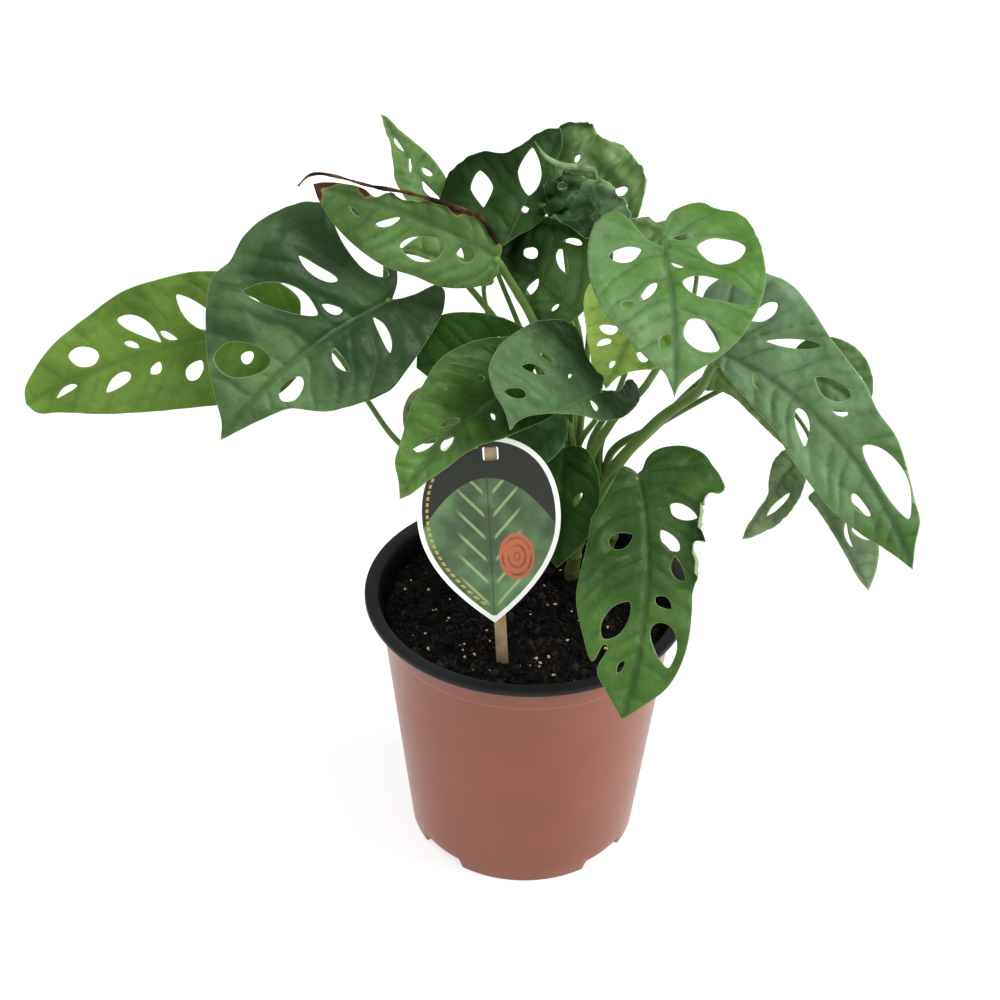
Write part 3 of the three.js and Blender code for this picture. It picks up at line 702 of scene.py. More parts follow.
@dataclass(frozen=True)
class PlainFinish:
    """A mottled finish of one stuff."""

    light: Paint
    deep: Paint
    low: Paint
    rough: Pair = (0.4, 0.6)
    depth: float = 0.0001
    gloss: float = 0.5
    patches: float = 60.0

    def material(self, name: str) -> Material:
        """Make the material.

        Args:
            name: The material's name.

        Returns:
            The material.
        """
        values = {
            "Light": tone(*self.light),
            "Deep": tone(*self.deep),
            "Low": tone(*self.low),
            "Patches": self.patches,
            "Rough Low": self.rough[0],
            "Rough High": self.rough[1],
        }
        group = shared_group("mottled_skin", mottle_group)
        return skin_material(name, group, values, self.gloss, self.depth)


@dataclass(frozen=True)
class CardFinish:
    """The printed card's colours, named as the print's inputs are."""

    border: Paint = (255, 255, 252)
    field: Paint = (116, 150, 102)
    head: Paint = (46, 50, 42)
    stripe: Paint = (184, 208, 154)
    disc: Paint = (188, 110, 74)
    arc: Paint = (190, 170, 94)
    back: Paint = (240, 240, 234)

    def material(self, name: str, rough: float = 0.32) -> Material:
        """Make the card's material.

        Args:
            name: The material's name.
            rough: The shader's roughness.

        Returns:
            The material.
        """
        values = {key.capitalize(): tone(*paint) for key, paint in vars(self).items()}
        group = shared_group("card_print", card_print_group)
        material, shader, _ = new_material(name, group, values)
        shader.inputs["Roughness"].default_value = rough
        return material


class Stuff(Enum):
    """The plain stuffs of the pot, the soil and the stalks."""

    TERRACOTTA_PLASTIC = PlainFinish(
        (142, 85, 66), (133, 80, 62), (120, 74, 60), (0.26, 0.34), 0.00002, 0.45, 14.0
    )
    # The black's low colour is painted shade, for the inside of the pot
    BLACK_PLASTIC = PlainFinish((30, 30, 31), (24, 24, 25), (9, 10, 10), (0.4, 0.5), 0.00003, 0.32)
    SOIL = PlainFinish((38, 35, 34), (18, 18, 19), (8, 7, 6), (0.9, 1.0), 0.0003, 0.0, 200.0)
    CRUMB = PlainFinish((58, 53, 50), (21, 21, 22), (15, 13, 12), (0.8, 1.0), 0.0002, 0.1, 130.0)
    FIBRE = PlainFinish((104, 78, 50), (46, 34, 24), (40, 30, 22), (0.8, 0.95), 0.0002, 0.1, 200.0)
    PERLITE = PlainFinish(
        (218, 204, 174), (182, 162, 126), (154, 134, 104), (0.8, 0.95), 0.0002, 0.2, 300.0
    )
    STALK = PlainFinish((116, 142, 76), (92, 118, 58), (100, 98, 62), (0.4, 0.55), 0.00006, 0.35)
    WOOD = PlainFinish(
        (204, 184, 152), (168, 146, 116), (104, 86, 66), (0.65, 0.85), 0.00015, 0.2, 120.0
    )
    YOUNG = PlainFinish(
        (146, 166, 124), (84, 106, 68), (76, 98, 54), (0.35, 0.5), 0.00005, 0.4, 110.0
    )
    DRIED = PlainFinish((104, 78, 62), (50, 36, 29), (40, 29, 23), (0.7, 0.9), 0.0002, 0.1, 200.0)

    def material(self) -> Material:
        """Give the stuff's material, made once."""
        name = f"plain_{self.name.lower()}"
        return bpy.data.materials.get(name) or self.value.material(name)


# ---- Rings and tubes


def ring_faces(start: int, turns: int) -> list[list[int]]:
    """List the faces between a ring of corners and the next ring.

    Args:
        start: The ring's first corner.
        turns: How many corners a ring has.

    Returns:
        The faces.
    """
    pairs = ((start + k, start + (k + 1) % turns) for k in range(turns))
    return [[a, a + turns, b + turns, b] for a, b in pairs]


def tube_faces(rings: int, sides: int, start: int) -> list[list[int]]:
    """List the faces of a closed tube.

    Args:
        rings: How many rings.
        sides: How many corners a ring has.
        start: The first corner's number.

    Returns:
        The faces.
    """
    faces = []
    for r in range(rings - 1):
        for k in range(sides):
            a = start + r * sides + k
            b = start + r * sides + (k + 1) % sides
            faces.append([a, b, b + sides, a + sides])
    faces.append([start + k for k in reversed(range(sides))])
    faces.append([start + (rings - 1) * sides + k for k in range(sides)])
    return faces


def tube_points(path: np.ndarray, radii: np.ndarray, sides: int, groove: float) -> np.ndarray:
    """Place the rings of a tube along a path.

    Args:
        path: The middle line.
        radii: The radius at each mark.
        sides: How many corners a ring has.
        groove: How deep a groove runs along one side, as a share of the radius.

    Returns:
        The corners, ring by ring.
    """
    groove_width = 0.5
    lines = unit(np.gradient(path, axis=0))
    side = unit(np.cross(lines[0], (0.0, -1.0, 0.3)))
    out = []
    for point, line, radius in zip(path, lines, radii):
        side = unit(side - line * side.dot(line))
        other = np.cross(line, side)
        for k in range(sides):
            angle = TURN * k / sides
            dent = 1.0 - groove * bell(angle - math.pi, groove_width)
            out.append(point + (side * math.cos(angle) + other * math.sin(angle)) * radius * dent)
    return np.array(out)


@dataclass
class TubeBundle:
    """Tubes gathered into one mesh."""

    sides: int = 14
    points: list[np.ndarray] = field(default_factory=list)
    faces: list[list[int]] = field(default_factory=list)
    low: list[np.ndarray] = field(default_factory=list)
    count: int = 0

    def add(self, path: np.ndarray, radii: np.ndarray, low: np.ndarray, groove: float = 0) -> None:
        """Add one tube.

        Args:
            path: The middle line.
            radii: The radius at each mark.
            low: How much of the low colour each mark has.
            groove: The depth of the groove along it.
        """
        corners = tube_points(path, radii, self.sides, groove)
        self.points.append(corners)
        self.faces += tube_faces(len(path), self.sides, self.count)
        self.low.append(np.repeat(low, self.sides))
        self.count += len(corners)

    def build(self, name: str) -> Piece:
        """Make the mesh of all tubes.

        Args:
            name: The piece's name.

        Returns:
            The piece.
        """
        piece = make_object(name, np.vstack(self.points), self.faces)
        mark(piece, "low", np.concatenate(self.low))
        return piece


# ---- Leaves


@dataclass
class Leaf:
    """One leaf: the place and form of its blade, its edge and its holes.

    Its own frame has u from the base (0) to the tip (100) and v across, in hundredths of its
    length. Holes are (u, v, length, width, turn), dry patches (u, v, radius). Rolls bend the
    edge over near a spot: (u, v, reach, width in millimetres, degrees). Painted light says how
    much darker the green is painted towards the base, towards the left side and all over: painted
    shade, and on some leaves painted sheen on the lighter side. The steps are the distances
    between marks of the edge, of a hole and of the skin, in millimetres.
    """

    name: str
    base: Triple
    tip: Triple
    face: float
    bend: float
    fold: float
    curl: Pair
    wave: Triple
    left: Sequence[Pair]
    right: Sequence[Pair]
    finish: LeafFinish
    slot: str
    vine: int
    stalk: Sequence[Triple]
    holes: Sequence[Five] = ()
    sway: float = 0.0
    ribs: float = 10.0
    quilt: float = 1.0
    swell: float = 1.0
    dry: Sequence[Triple] = ()
    rolls: Sequence[Five] = ()
    stout: float = 1.0
    painted_light: Sequence[float] = (0.6, 0.0)
    pleats: float = 0.0
    angular: float = 1.0
    seed: int = 1
    edge_step: float = 1.1
    hole_step: float = 0.9
    skin_step: float = 1.2
    rim_half: float = 0.14
    more_half: float = 0.12

    def __post_init__(self) -> None:
        """Work out the blade's own frame."""
        self.start = np.array(self.base, float)
        along = np.array(self.tip, float) - self.start
        self.chord = float(np.linalg.norm(along))
        self.along = along / self.chord
        up = unit(np.array([0.0, 0.0, 1.0]) - self.along * self.along[2])
        turn = math.radians(self.face)
        self.normal = up * math.cos(turn) + np.cross(self.along, up) * math.sin(turn)
        self.across = np.cross(self.normal, self.along)
        self.arch = math.radians(self.bend)
        self.radius = self.chord / (2 * math.sin(self.arch / 2))
        self.length = self.radius * self.arch
        self.scale = self.length / 100.0

    def surface(self, u: np.ndarray, v: np.ndarray) -> np.ndarray:
        """Place points of the blade's middle surface.

        Args:
            u: Along the blade.
            v: Across the blade.

        Returns:
            The points in millimetres.
        """
        # Along the arch of the midrib
        t, w, left = u / 100.0, np.abs(v) / 100.0, v >= 0
        turn = self.arch * (t - 0.5)
        ahead = self.chord / 2 + self.radius * np.sin(turn)
        high = self.radius * (np.cos(turn) - math.cos(self.arch / 2))
        point = self.start + np.multiply.outer(ahead, self.along)
        point = point + np.multiply.outer(high, self.normal)
        out = np.multiply.outer(np.cos(turn), self.normal)
        out = out + np.multiply.outer(np.sin(turn), self.along)
        # Across it: folded up at the midrib, curled down to both sides, waved at the edge
        bends = [math.radians(max(c, 0.5)) for c in self.curl]
        curl = np.where(left, bends[0], bends[1])
        fold = math.radians(self.fold)
        reach = np.sin(curl * w) / curl
        drop = -(1 - np.cos(curl * w)) / curl
        size, count, start = self.wave
        phase = TURN * (count * t + start + np.where(left, 0.0, 0.35))
        wave = size / 100.0 * (w / 0.5) ** 2 * np.sin(phase)
        x = reach * math.cos(fold) - drop * math.sin(fold)
        y = reach * math.sin(fold) + drop * math.cos(fold) + wave
        point = point + np.multiply.outer(np.sign(v) * x * self.length, self.across)
        return point + out * (y * self.length)[..., None]

    def normals(self, u: np.ndarray, v: np.ndarray) -> np.ndarray:
        """Give the surface's upward directions.

        Args:
            u: Along the blade.
            v: Across the blade.

        Returns:
            Unit vectors.
        """
        du = self.surface(u + 0.5, v) - self.surface(u - 0.5, v)
        dv = self.surface(u, v + 1.5) - self.surface(u, v - 1.5)
        return unit(np.cross(du, dv))

    def outline(self) -> np.ndarray:
        """Draw the blade's edge, a little wider where it is rolled over.

        Returns:
            The closed loop in the blade's frame.
        """
        step = self.edge_step
        pace = 100.0 * step / self.length
        left = [(0.0, 0.0), *self.left, (100.0, 0.0)]
        right = [(100.0, 0.0), *[(u, -v) for u, v in reversed(self.right)], (0.0, 0.0)]
        loop = np.vstack([smooth_path(run, pace, 6)[:-1] for run in (left, right)])
        spread = np.zeros(len(loop))
        for roll in self.rolls:
            width, turn = roll[3:]
            angle = np.abs(math.radians(turn)) * self.ease(loop, roll, 0.001)
            kept = width * np.sin(np.minimum(angle, math.pi / 2)) / angle
            spread = np.maximum(spread, (width - kept) * pace / step)
        return loop + self.outward(loop) * spread[:, None]

    @staticmethod
    def ease(marks: np.ndarray, roll: Five, least: float) -> np.ndarray:
        """Tell how fully a roll bends each mark of the edge.

        Args:
            marks: The marks in the blade's frame.
            roll: The roll.
            least: The share past the roll's reach.

        Returns:
            The share for each mark, up to 1.
        """
        spot_u, spot_v, reach = roll[:3]
        away = np.hypot(marks[:, 0] - spot_u, marks[:, 1] - spot_v)
        return np.clip((reach - away) / (0.45 * reach), least, 1)

    @staticmethod
    def outward(loop: np.ndarray) -> np.ndarray:
        """Give the outward directions along a closed edge.

        Args:
            loop: The edge's marks in the blade's frame.

        Returns:
            One direction for each mark.
        """
        way = np.roll(loop, -2, axis=0) - np.roll(loop, 2, axis=0)
        way = np.stack([-way[:, 1], way[:, 0]], 1)
        return way / (np.linalg.norm(way, axis=1)[:, None] + 1e-9)

    def hole_loops(self) -> list[np.ndarray]:
        """Draw the holes' edges, each a little uneven.

        Returns:
            One closed loop for each hole.
        """
        loops = []
        rng = np.random.default_rng(self.seed + 50)
        for u, v, long, wide, turn in self.holes:
            count = max(16, round(2.3 * long * self.length / 100.0 / self.hole_step))
            t = np.linspace(0, TURN, count, endpoint=False)
            taper, bow = rng.uniform(-0.28, 0.28), rng.uniform(-0.1, 0.1)
            ripple = rng.uniform(0, 6.28)
            cos, sin = np.cos(t), np.sin(t)
            along, across = (np.sign(w) * np.abs(w) ** self.angular for w in (cos, sin))
            point = 1.06 * (1.0 - 0.3 * cos**4) * (1.0 + taper * cos)
            a = along * long / 2 * (1.04 + 0.04 * np.sin(3 * t + ripple))
            b = across * wide / 2 * point * (1.0 + 0.05 * np.sin(2 * t + ripple))
            b = b + bow * long * (cos**2 - 0.5)
            angle = math.radians(turn)
            du = a * math.cos(angle) - b * math.sin(angle)
            dv = a * math.sin(angle) + b * math.cos(angle)
            loops.append(np.stack([u + du, v + (dv if v >= 0 else -dv)], 1))
        return loops

    def veins(self, u: np.ndarray, v: np.ndarray) -> tuple[np.ndarray, ...]:
        """Find how near each point lies to the midrib and the side veins.

        Args:
            u: Along the blade.
            v: Across the blade.

        Returns:
            Millimetres to the midrib, millimetres to the nearest side vein, the swelling
            between the veins and the strength of that vein.
        """
        t = np.clip(u / 100.0, 0.0, 1.0)
        away = v - self.sway * 4 * t * (1 - t)
        d, left = np.abs(away), away >= 0
        girth = np.where(left, *(max(w for _, w in side) for side in (self.left, self.right)))
        girth = girth + 4.0
        # Side veins leave the midrib and bend forwards, not quite evenly spaced
        q = np.clip(d / girth, 0, 1.2)
        root = u - girth * (0.28 * q + 0.5 * q**2)
        phase = root / self.ribs + np.where(left, 0.0, 0.45)
        uneven = 0.2 * np.sin(1.9 * phase + self.seed)
        phase = phase + uneven + 0.05 * np.sin(v * 0.35 + self.seed)
        gap = np.abs(phase - np.round(phase)) * self.ribs * 0.85
        # Behind the base they spread like a fan
        spread = (np.arctan2(d, u) - 0.95 + 0.002 * d) / 0.46
        radial = np.abs(spread - np.round(spread)) * 0.46 * np.hypot(u, d)
        behind = root < 0
        gap = np.where(behind, radial, gap)
        swell = np.abs(np.sin(math.pi * np.where(behind, spread, phase))) ** 0.75
        # Each vein has a strength of its own
        number = np.round(np.where(behind, spread + 40, phase + 5)) + np.where(left, 0, 17)
        strength = 0.45 + 0.55 * np.abs(np.sin(number * 12.9 + self.seed))
        strength *= np.where(behind, np.clip((u + 42) / 30, 0.15, 0.8), 1.0)
        midrib = np.where((u > -2) & (u < 101), d, 99.0)
        return midrib * self.scale, gap * self.scale, swell, strength

    def rolled(
        self, u: np.ndarray, v: np.ndarray, outer: np.ndarray, which: np.ndarray, edge: np.ndarray
    ) -> tuple[np.ndarray, np.ndarray]:
        """Place the middle surface, with the rolled stretches of its edge bent over.

        Args:
            u: Along the blade.
            v: Across the blade.
            outer: Millimetres to the edge.
            which: The number of the nearest mark of the edge.
            edge: The edge's marks in the blade's frame.

        Returns:
            The points and the directions away from the upper side.
        """
        middle, up = self.surface(u, v), self.normals(u, v)
        way = self.outward(edge)
        for roll in self.rolls:
            width, turn = roll[3:]
            sense = math.copysign(1.0, turn)
            ease = self.ease(edge[which], roll, 0)
            past = np.clip(width - outer, 0, None)
            bent = (past > 0) & (ease > 0.02)
            if not bent.any():
                continue
            # Where the roll starts, then round an arc from there
            s, out = past[bent], way[which[bent]]
            radius = (width / np.abs(math.radians(turn) * ease[bent]))[:, None]
            qu, qv = u[bent] - out[:, 0] * s / self.scale, v[bent] - out[:, 1] * s / self.scale
            line, high = self.surface(qu, qv), self.normals(qu, qv)
            ahead = unit(self.surface(qu + out[:, 0], qv + out[:, 1]) - line)
            cos, sin = np.cos(s[:, None] / radius), np.sin(s[:, None] / radius)
            middle[bent] = line + ahead * (radius * sin) + sense * high * (radius * (1 - cos))
            up[bent] = high * cos - sense * ahead * sin
        return middle, up

    def relief(
        self, u: np.ndarray, v: np.ndarray, rim: np.ndarray, outer: np.ndarray
    ) -> tuple[np.ndarray, ...]:
        """Work out the waves, swellings and grooves of the upper side.

        Args:
            u: Along the blade.
            v: Across the blade.
            rim: Millimetres to the nearest edge or hole.
            outer: Millimetres to the outer edge.

        Returns:
            The lift, the ridge under the midrib, how much midrib there is and how much painted
            shade the grooves and valleys get.
        """
        midrib, gap, pillow, strength = self.veins(u, v)
        inner = 1.0 - np.exp(-rim / 2.5)
        # Broad waves, in a few random directions
        rng, count = np.random.default_rng(self.seed), 9
        soft = np.zeros(len(u))
        for _ in range(count):
            k = rng.uniform(-0.24, 0.24, 2)
            soft += np.sin(u * k[0] + v * k[1] + rng.uniform(0, 6.28)) / count
        lift = 2.6 * self.swell * soft * np.clip(outer / 4.0, 0.4, 1.0)
        # The skin puffs up between sunken veins
        groove = strength * bell(gap, 1.0) * np.clip(midrib / 2.0, 0, 1)
        puff = (0.62 + 0.38 * strength) * np.clip(midrib / 7.0, 0, 1)
        puff = 0.95 * pillow * puff * np.clip(rim / 5.0, 0.25, 1) * np.clip(strength / 0.45, 0, 1)
        lift += self.quilt * (puff - 0.35 * groove * inner)
        lift -= self.quilt * 0.9 * bell(midrib, 1.6) * inner
        # Sharp folds that spread from the base
        folds = np.abs(np.sin(4 * np.arctan2(v, u + 8) + 2.0 * soft)) ** 0.6
        lift += self.pleats * np.clip(np.hypot(u, v) / 40, 0, 1) * (1.2 - 2 * folds)
        # Small dents, and a ripple along the edge
        pace = 0.085 * self.scale
        spots = zip((u * pace).tolist(), (v * pace).tolist())
        dents = [noise.fractal((x, y, self.seed), 0.75, 2.0, 3) for x, y in spots]
        lift += 0.75 * self.swell * inner * np.array(dents)
        ripple = np.sin(u * 0.55 + self.seed) * np.sin(u * 0.21)
        lift += 0.6 * self.swell * np.exp(-outer / 3.0) * ripple
        # The midrib, thinner towards the tip, and the painted shade in the sunken veins, along the
        # midrib and in the valleys between swellings; on the back the same mask paints pale veins
        rib = bell(midrib, 0.55) * np.clip(1.15 - u / 100.0, 0, 1)
        ridge = 0.8 * bell(midrib, 1.0) * np.clip(1.05 - u / 100.0, 0.1, 1.0) * inner
        hollow = np.maximum(0.8 * strength * bell(gap, 0.6), 0.9 * bell(midrib, 1.5))
        hollow = np.maximum(hollow, 0.34 * strength * (1 - pillow)) * np.clip(self.quilt, 0.3, 1.0)
        hollow *= np.clip(rim / 1.5, 0, 1) * np.clip(1.25 - np.abs(v) / 60.0, 0.3, 1)
        return lift, ridge, rib, hollow

    def dryness(self, u: np.ndarray, v: np.ndarray, outer: np.ndarray) -> np.ndarray:
        """Tell how dry each point is, 0 to 1.

        Args:
            u: Along the blade.
            v: Across the blade.
            outer: Millimetres to the outer edge.

        Returns:
            The dryness, along the edge near each dry patch.
        """
        ragged = 2.3 + 1.6 * np.sin(u * 0.47 + self.seed) * np.sin(u * 0.19)
        ragged = ragged + 0.45 * np.sin(u * 1.7 + 2 * np.sin(u * 0.6))
        hem = np.clip(1.25 - outer / np.clip(ragged, 0.5, 4.0), 0, 1)
        away = [np.clip(1.6 - np.hypot(u - x, v - y) / size, 0, 1) * hem for x, y, size in self.dry]
        return np.max([np.zeros(len(u)), *away], axis=0)

    def build(self) -> Piece:
        """Make the blade's piece.

        Returns:
            The piece.
        """
        scale, edge, holes = self.scale, self.outline(), self.hole_loops()
        flat, triangles = fill_flat(edge * scale, [h * scale for h in holes], self.skin_step)
        u, v = flat[:, 0] / scale, flat[:, 1] / scale
        rim = nearest(flat, np.vstack([edge, *holes]) * scale)[0]
        outer, which = nearest(flat, edge * scale)
        lift, ridge, rib, hollow = self.relief(u, v, rim, outer)
        half = self.rim_half + self.more_half * np.clip(rim / 1.2, 0, 1)
        middle, up = self.rolled(u, v, outer, which, edge)
        top = middle + up * (lift + half)[:, None]
        under = middle + up * (lift - half - ridge)[:, None]
        piece = thin_sheet(f"blade_{self.name}", top, under, triangles)
        # Painted shade: the green is painted darker towards the base, to one side and all over
        to_base, to_left, all_over = (*self.painted_light, 0.0)[:3]
        marks = {
            "rib": rib,
            "groove": hollow,
            "rim": rim,
            "dry": self.dryness(u, v, outer),
            "painted_light": 0.5 + to_base * (50 - u) / 100 + to_left * v / 100 + all_over,
        }
        for name, values in marks.items():
            mark(piece, name, np.tile(values, 2))
        skin = self.finish.material(f"skin_{self.name}")
        return show_as(piece, [f"leaf_{self.name}"], self.slot, skin)

    def seat(self) -> tuple[np.ndarray, np.ndarray]:
        """Give where the stalk meets the blade and the way it comes in.

        Returns:
            The point on the blade and the travel direction.
        """
        point = self.surface(np.array([3.0]), np.array([0.0]))[0]
        return point, unit(point - np.array(self.stalk[-1], float))


@dataclass
class Vine:
    """A short stem in the soil with the stalks of its leaves.

    It leans from its foot to where the stalks fork, and again as far to its top. A shoot is the
    middle line of the young leaf's stalk.
    """

    name: str
    foot: Pair
    lean: Pair
    number: int
    shoot: Sequence[Triple] = ()
    soil: float = 142.0
    rooted: float = 20.0
    fork: float = 14.0
    tall: float = 28.0
    shoot_radius: float = 1.3

    def stem(self) -> tuple[np.ndarray, np.ndarray, np.ndarray]:
        """Draw the stem, with two knots and a rounded top.

        Returns:
            Its middle line, its radii and how much of the low colour it has.
        """
        (x, y), (dx, dy), soil = self.foot, self.lean, self.soil
        spots = [(x, y, soil - self.rooted), (x, y, soil + 2), (x + dx, y + dy, soil + self.fork)]
        path = smooth_path([*spots, (x + 2 * dx, y + 2 * dy, soil + self.tall)], 1.0)
        height = path[:, 2] - soil
        radii = 4.0 - 0.8 * np.clip(height / self.tall, 0, 1)
        radii = radii + (0.5 * bell(height - 4, 1.2) + 0.6 * bell(height - 15, 1.3))
        radii *= np.clip((path[-1, 2] - path[:, 2]) / 3.0 + 0.35, 0.35, 1.0)
        return path, radii, np.clip(1.0 - height / 30, 0, 1)

    def stalk(self, leaf: Leaf) -> tuple[np.ndarray, np.ndarray, np.ndarray]:
        """Draw a leaf's stalk, with its sheath below and its knee under the blade.

        Args:
            leaf: The leaf.

        Returns:
            Its middle line, its radii and how much of the low colour it has.
        """
        step = 2.0
        (x, y), (dx, dy) = self.foot, self.lean
        point, travel = leaf.seat()
        ends = (tuple(point - travel * 4), tuple(point - travel * 0.6))
        path = smooth_path([(x + dx, y + dy, self.soil + self.fork), *leaf.stalk, *ends], step)
        run = np.linspace(0, 1, len(path))
        radii = leaf.stout * 1.25 + 1.35 * (1 - run) ** 1.4
        radii += 0.25 * np.clip((0.42 - run) / 0.06, 0, 1)
        radii += 0.35 * bell((1 - run) * (step * len(path)) - 7, 4)
        return path, radii, np.clip(0.7 - run * 2.2, 0, 1)

    def build(self, leaves: Sequence[Leaf]) -> Piece:
        """Make the vine's piece.

        Args:
            leaves: All the leaves of the plant.

        Returns:
            The piece.
        """
        groove = 0.28
        bundle = TubeBundle()
        bundle.add(*self.stem())
        for leaf in leaves:
            if leaf.vine == self.number:
                bundle.add(*self.stalk(leaf), groove)
        if self.shoot:
            path = smooth_path(self.shoot, 1.5)
            bundle.add(path, np.full(len(path), self.shoot_radius), np.zeros(len(path)))
        return show_as(bundle.build(self.name), [self.name], "stem", Stuff.STALK.material())


@dataclass
class YoungLeaf:
    """A new leaf, still rolled up."""

    line: Sequence[Triple] = (
        (30, 95, 345), (27, 93.5, 346.5), (15, 93, 348), (6, 97, 351), (0, 105, 356),
    )
    thick: float = 2.4

    def build(self) -> Piece:
        """Make the rolled leaf.

        Returns:
            The piece.
        """
        path = smooth_path(self.line, 0.8)
        run = np.linspace(0, 1, len(path))
        radii = self.thick * np.interp(run, (0, 0.12, 0.3, 0.7, 1), (0.75, 1.0, 0.92, 0.5, 0.1))
        bundle = TubeBundle(sides=20)
        bundle.add(path, radii, np.clip(0.5 - run * 2, 0, 1), 0.3)
        piece = bundle.build("rolled_leaf")
        return show_as(piece, ["young_leaf"], "leaf_young", Stuff.YOUNG.material())


@dataclass
class DriedEdge:
    """The dead brown thread along the upper left leaf."""

    line: Sequence[Triple] = (
        (-17.5, 51.9, 324.8), (-27.6, 56.2, 337.6), (-41.3, 55.6, 343), (-60.8, 55.6, 349.1),
        (-80.2, 56, 352.6), (-97.3, 58.3, 356.4), (-105.6, 59, 357.3), (-110.3, 57.1, 356.8),
        (-115, 53.4, 353.2),
    )
    thick: float = 1.35

    def build(self) -> Piece:
        """Make the thread.

        Returns:
            The piece.
        """
        path = smooth_path(self.line, 0.8)
        run = np.linspace(0, 1, len(path))
        rough = np.random.default_rng(5).uniform(-0.08, 0.08, len(path))
        rough = 0.85 + 0.3 * np.sin(run * 40) * np.sin(run * 17 + 1) + rough
        radii = np.clip(self.thick * (1.0 - 0.45 * run) * rough, 0.4, 1.6)
        bundle = TubeBundle(sides=10)
        bundle.add(path, radii, np.clip(np.sin(run * 23), 0, 1))
        piece = bundle.build("dried_thread")
        return show_as(piece, ["dried_edge"], "dried", Stuff.DRIED.material())


# ---- Pot and soil


@dataclass
class Pot:
    """Round nursery pot: terracotta-coloured wall, black lip and inside, four feet."""

    height: float = 152.5
    base_radius: float = 62.1
    neck_radius: float = 77.6
    neck_height: float = 149.5
    rim_radius: float = 85.0
    wall: float = 1.8
    floor: float = 8.0
    notch_height: float = 5.5
    notch_half: float = 13.4
    notch_slant: float = 2.3
    notches: Sequence[float] = (45, 135, 225, 315)
    turn_step: float = 2.0
    first_black: int = 15
    inner_reach: float = 78.2

    def outer(self, z: float) -> float:
        """Give the outer wall's radius at a height."""
        return self.base_radius + (self.neck_radius - self.base_radius) * z / self.neck_height

    def profile(self, notch: float) -> list[Pair]:
        """Draw the half section, black from the first black ring on.

        Args:
            notch: 1 in a notch of the foot, 0 on a foot.

        Returns:
            Radius and height of each ring, without the two middle points.
        """
        lift, o = self.notch_height * notch, self.outer
        band, neck, rim, top = o(134) + 0.8, self.neck_radius, self.rim_radius, self.height
        return [
            (30, 0), (52.6, 0), (54, lift), (o(lift) - 0.9, lift), (o(lift) - 0.2, lift + 0.25),
            (o(lift + 1), lift + 1), (o(12), 12), (o(24), 24), (o(60), 60), (o(100), 100),
            (o(133.2), 133.2), (o(134) + 0.12, 133.9), (band - 0.15, 135.0), (band + 0.05, 135.6),
            (neck + 0.7, 147.8), (neck + 1.0, 148.8), (neck + 1.6, 149.2), (rim - 1.1, 149.2),
            (rim - 0.3, 149.5), (rim, top - 2.3), (rim, top - 0.9), (rim - 0.25, top - 0.25),
            (rim - 0.9, top), (rim - 4.6, top), (rim - 5.8, top - 0.15), (rim - 6.7, top - 0.6),
            (rim - 7.3, top - 1.5), (o(147) - 1.25, 147), (o(143) - 1.45, 143),
            (o(100) - 1.7, 100), (o(8.6) - self.wall, 8.6), (o(8) - 3, self.floor),
            (30, self.floor),
        ]

    def build(self) -> Piece:
        """Make the pot.

        Returns:
            The piece.
        """
        corners = (self.notch_half, self.notch_half - self.notch_slant)
        special = [m + s * a for m in self.notches for s in (-1, 1) for a in corners]
        even = np.arange(0, 360, self.turn_step)
        angles = sorted({round(a % 360, 3) for a in [*even, *special]})
        rings = []
        for angle in angles:
            near = min(abs((angle - m + 180) % 360 - 180) for m in self.notches)
            notch = min(max((self.notch_half - near) / self.notch_slant, 0.0), 1.0)
            c, s = math.cos(math.radians(angle)), math.sin(math.radians(angle))
            rings.append([(r * c, r * s, z) for r, z in self.profile(notch)])
        count = len(rings[0])
        points = np.array([p for ring in rings for p in ring] + [(0, 0, 0), (0, 0, self.floor)])
        under, upper = len(points) - 2, len(points) - 1
        faces, black = [], []
        for turn in range(len(angles)):
            a, b = turn * count, (turn + 1) % len(angles) * count
            faces += [[a + k, b + k, b + k + 1, a + k + 1] for k in range(count - 1)]
            faces += [[under, b, a], [upper, a + count - 1, b + count - 1]]
            black += [*(k >= self.first_black for k in range(count - 1)), False, True]
        piece = make_object("nursery_pot", points, faces)
        for stuff in (Stuff.TERRACOTTA_PLASTIC, Stuff.BLACK_PLASTIC):
            piece.data.materials.append(stuff.material())
        piece.data.polygons.foreach_set("material_index", [int(b) for b in black])
        face_outwards(piece)
        piece.data.set_sharp_from_angle(angle=math.radians(38))
        # The inside of the pot takes the low colour, a darker black: painted shade inside the rim
        places = np.array([tuple(c.co) for c in piece.data.vertices]) / MM
        away = np.hypot(places[:, 0], places[:, 1])
        inner = (away < self.inner_reach) & (places[:, 2] > self.floor - 1)
        inner &= away < self.outer(places[:, 2]) - 0.6
        mark(piece, "low", inner.astype(float))
        return show_as(piece, ["pot"], "pot")


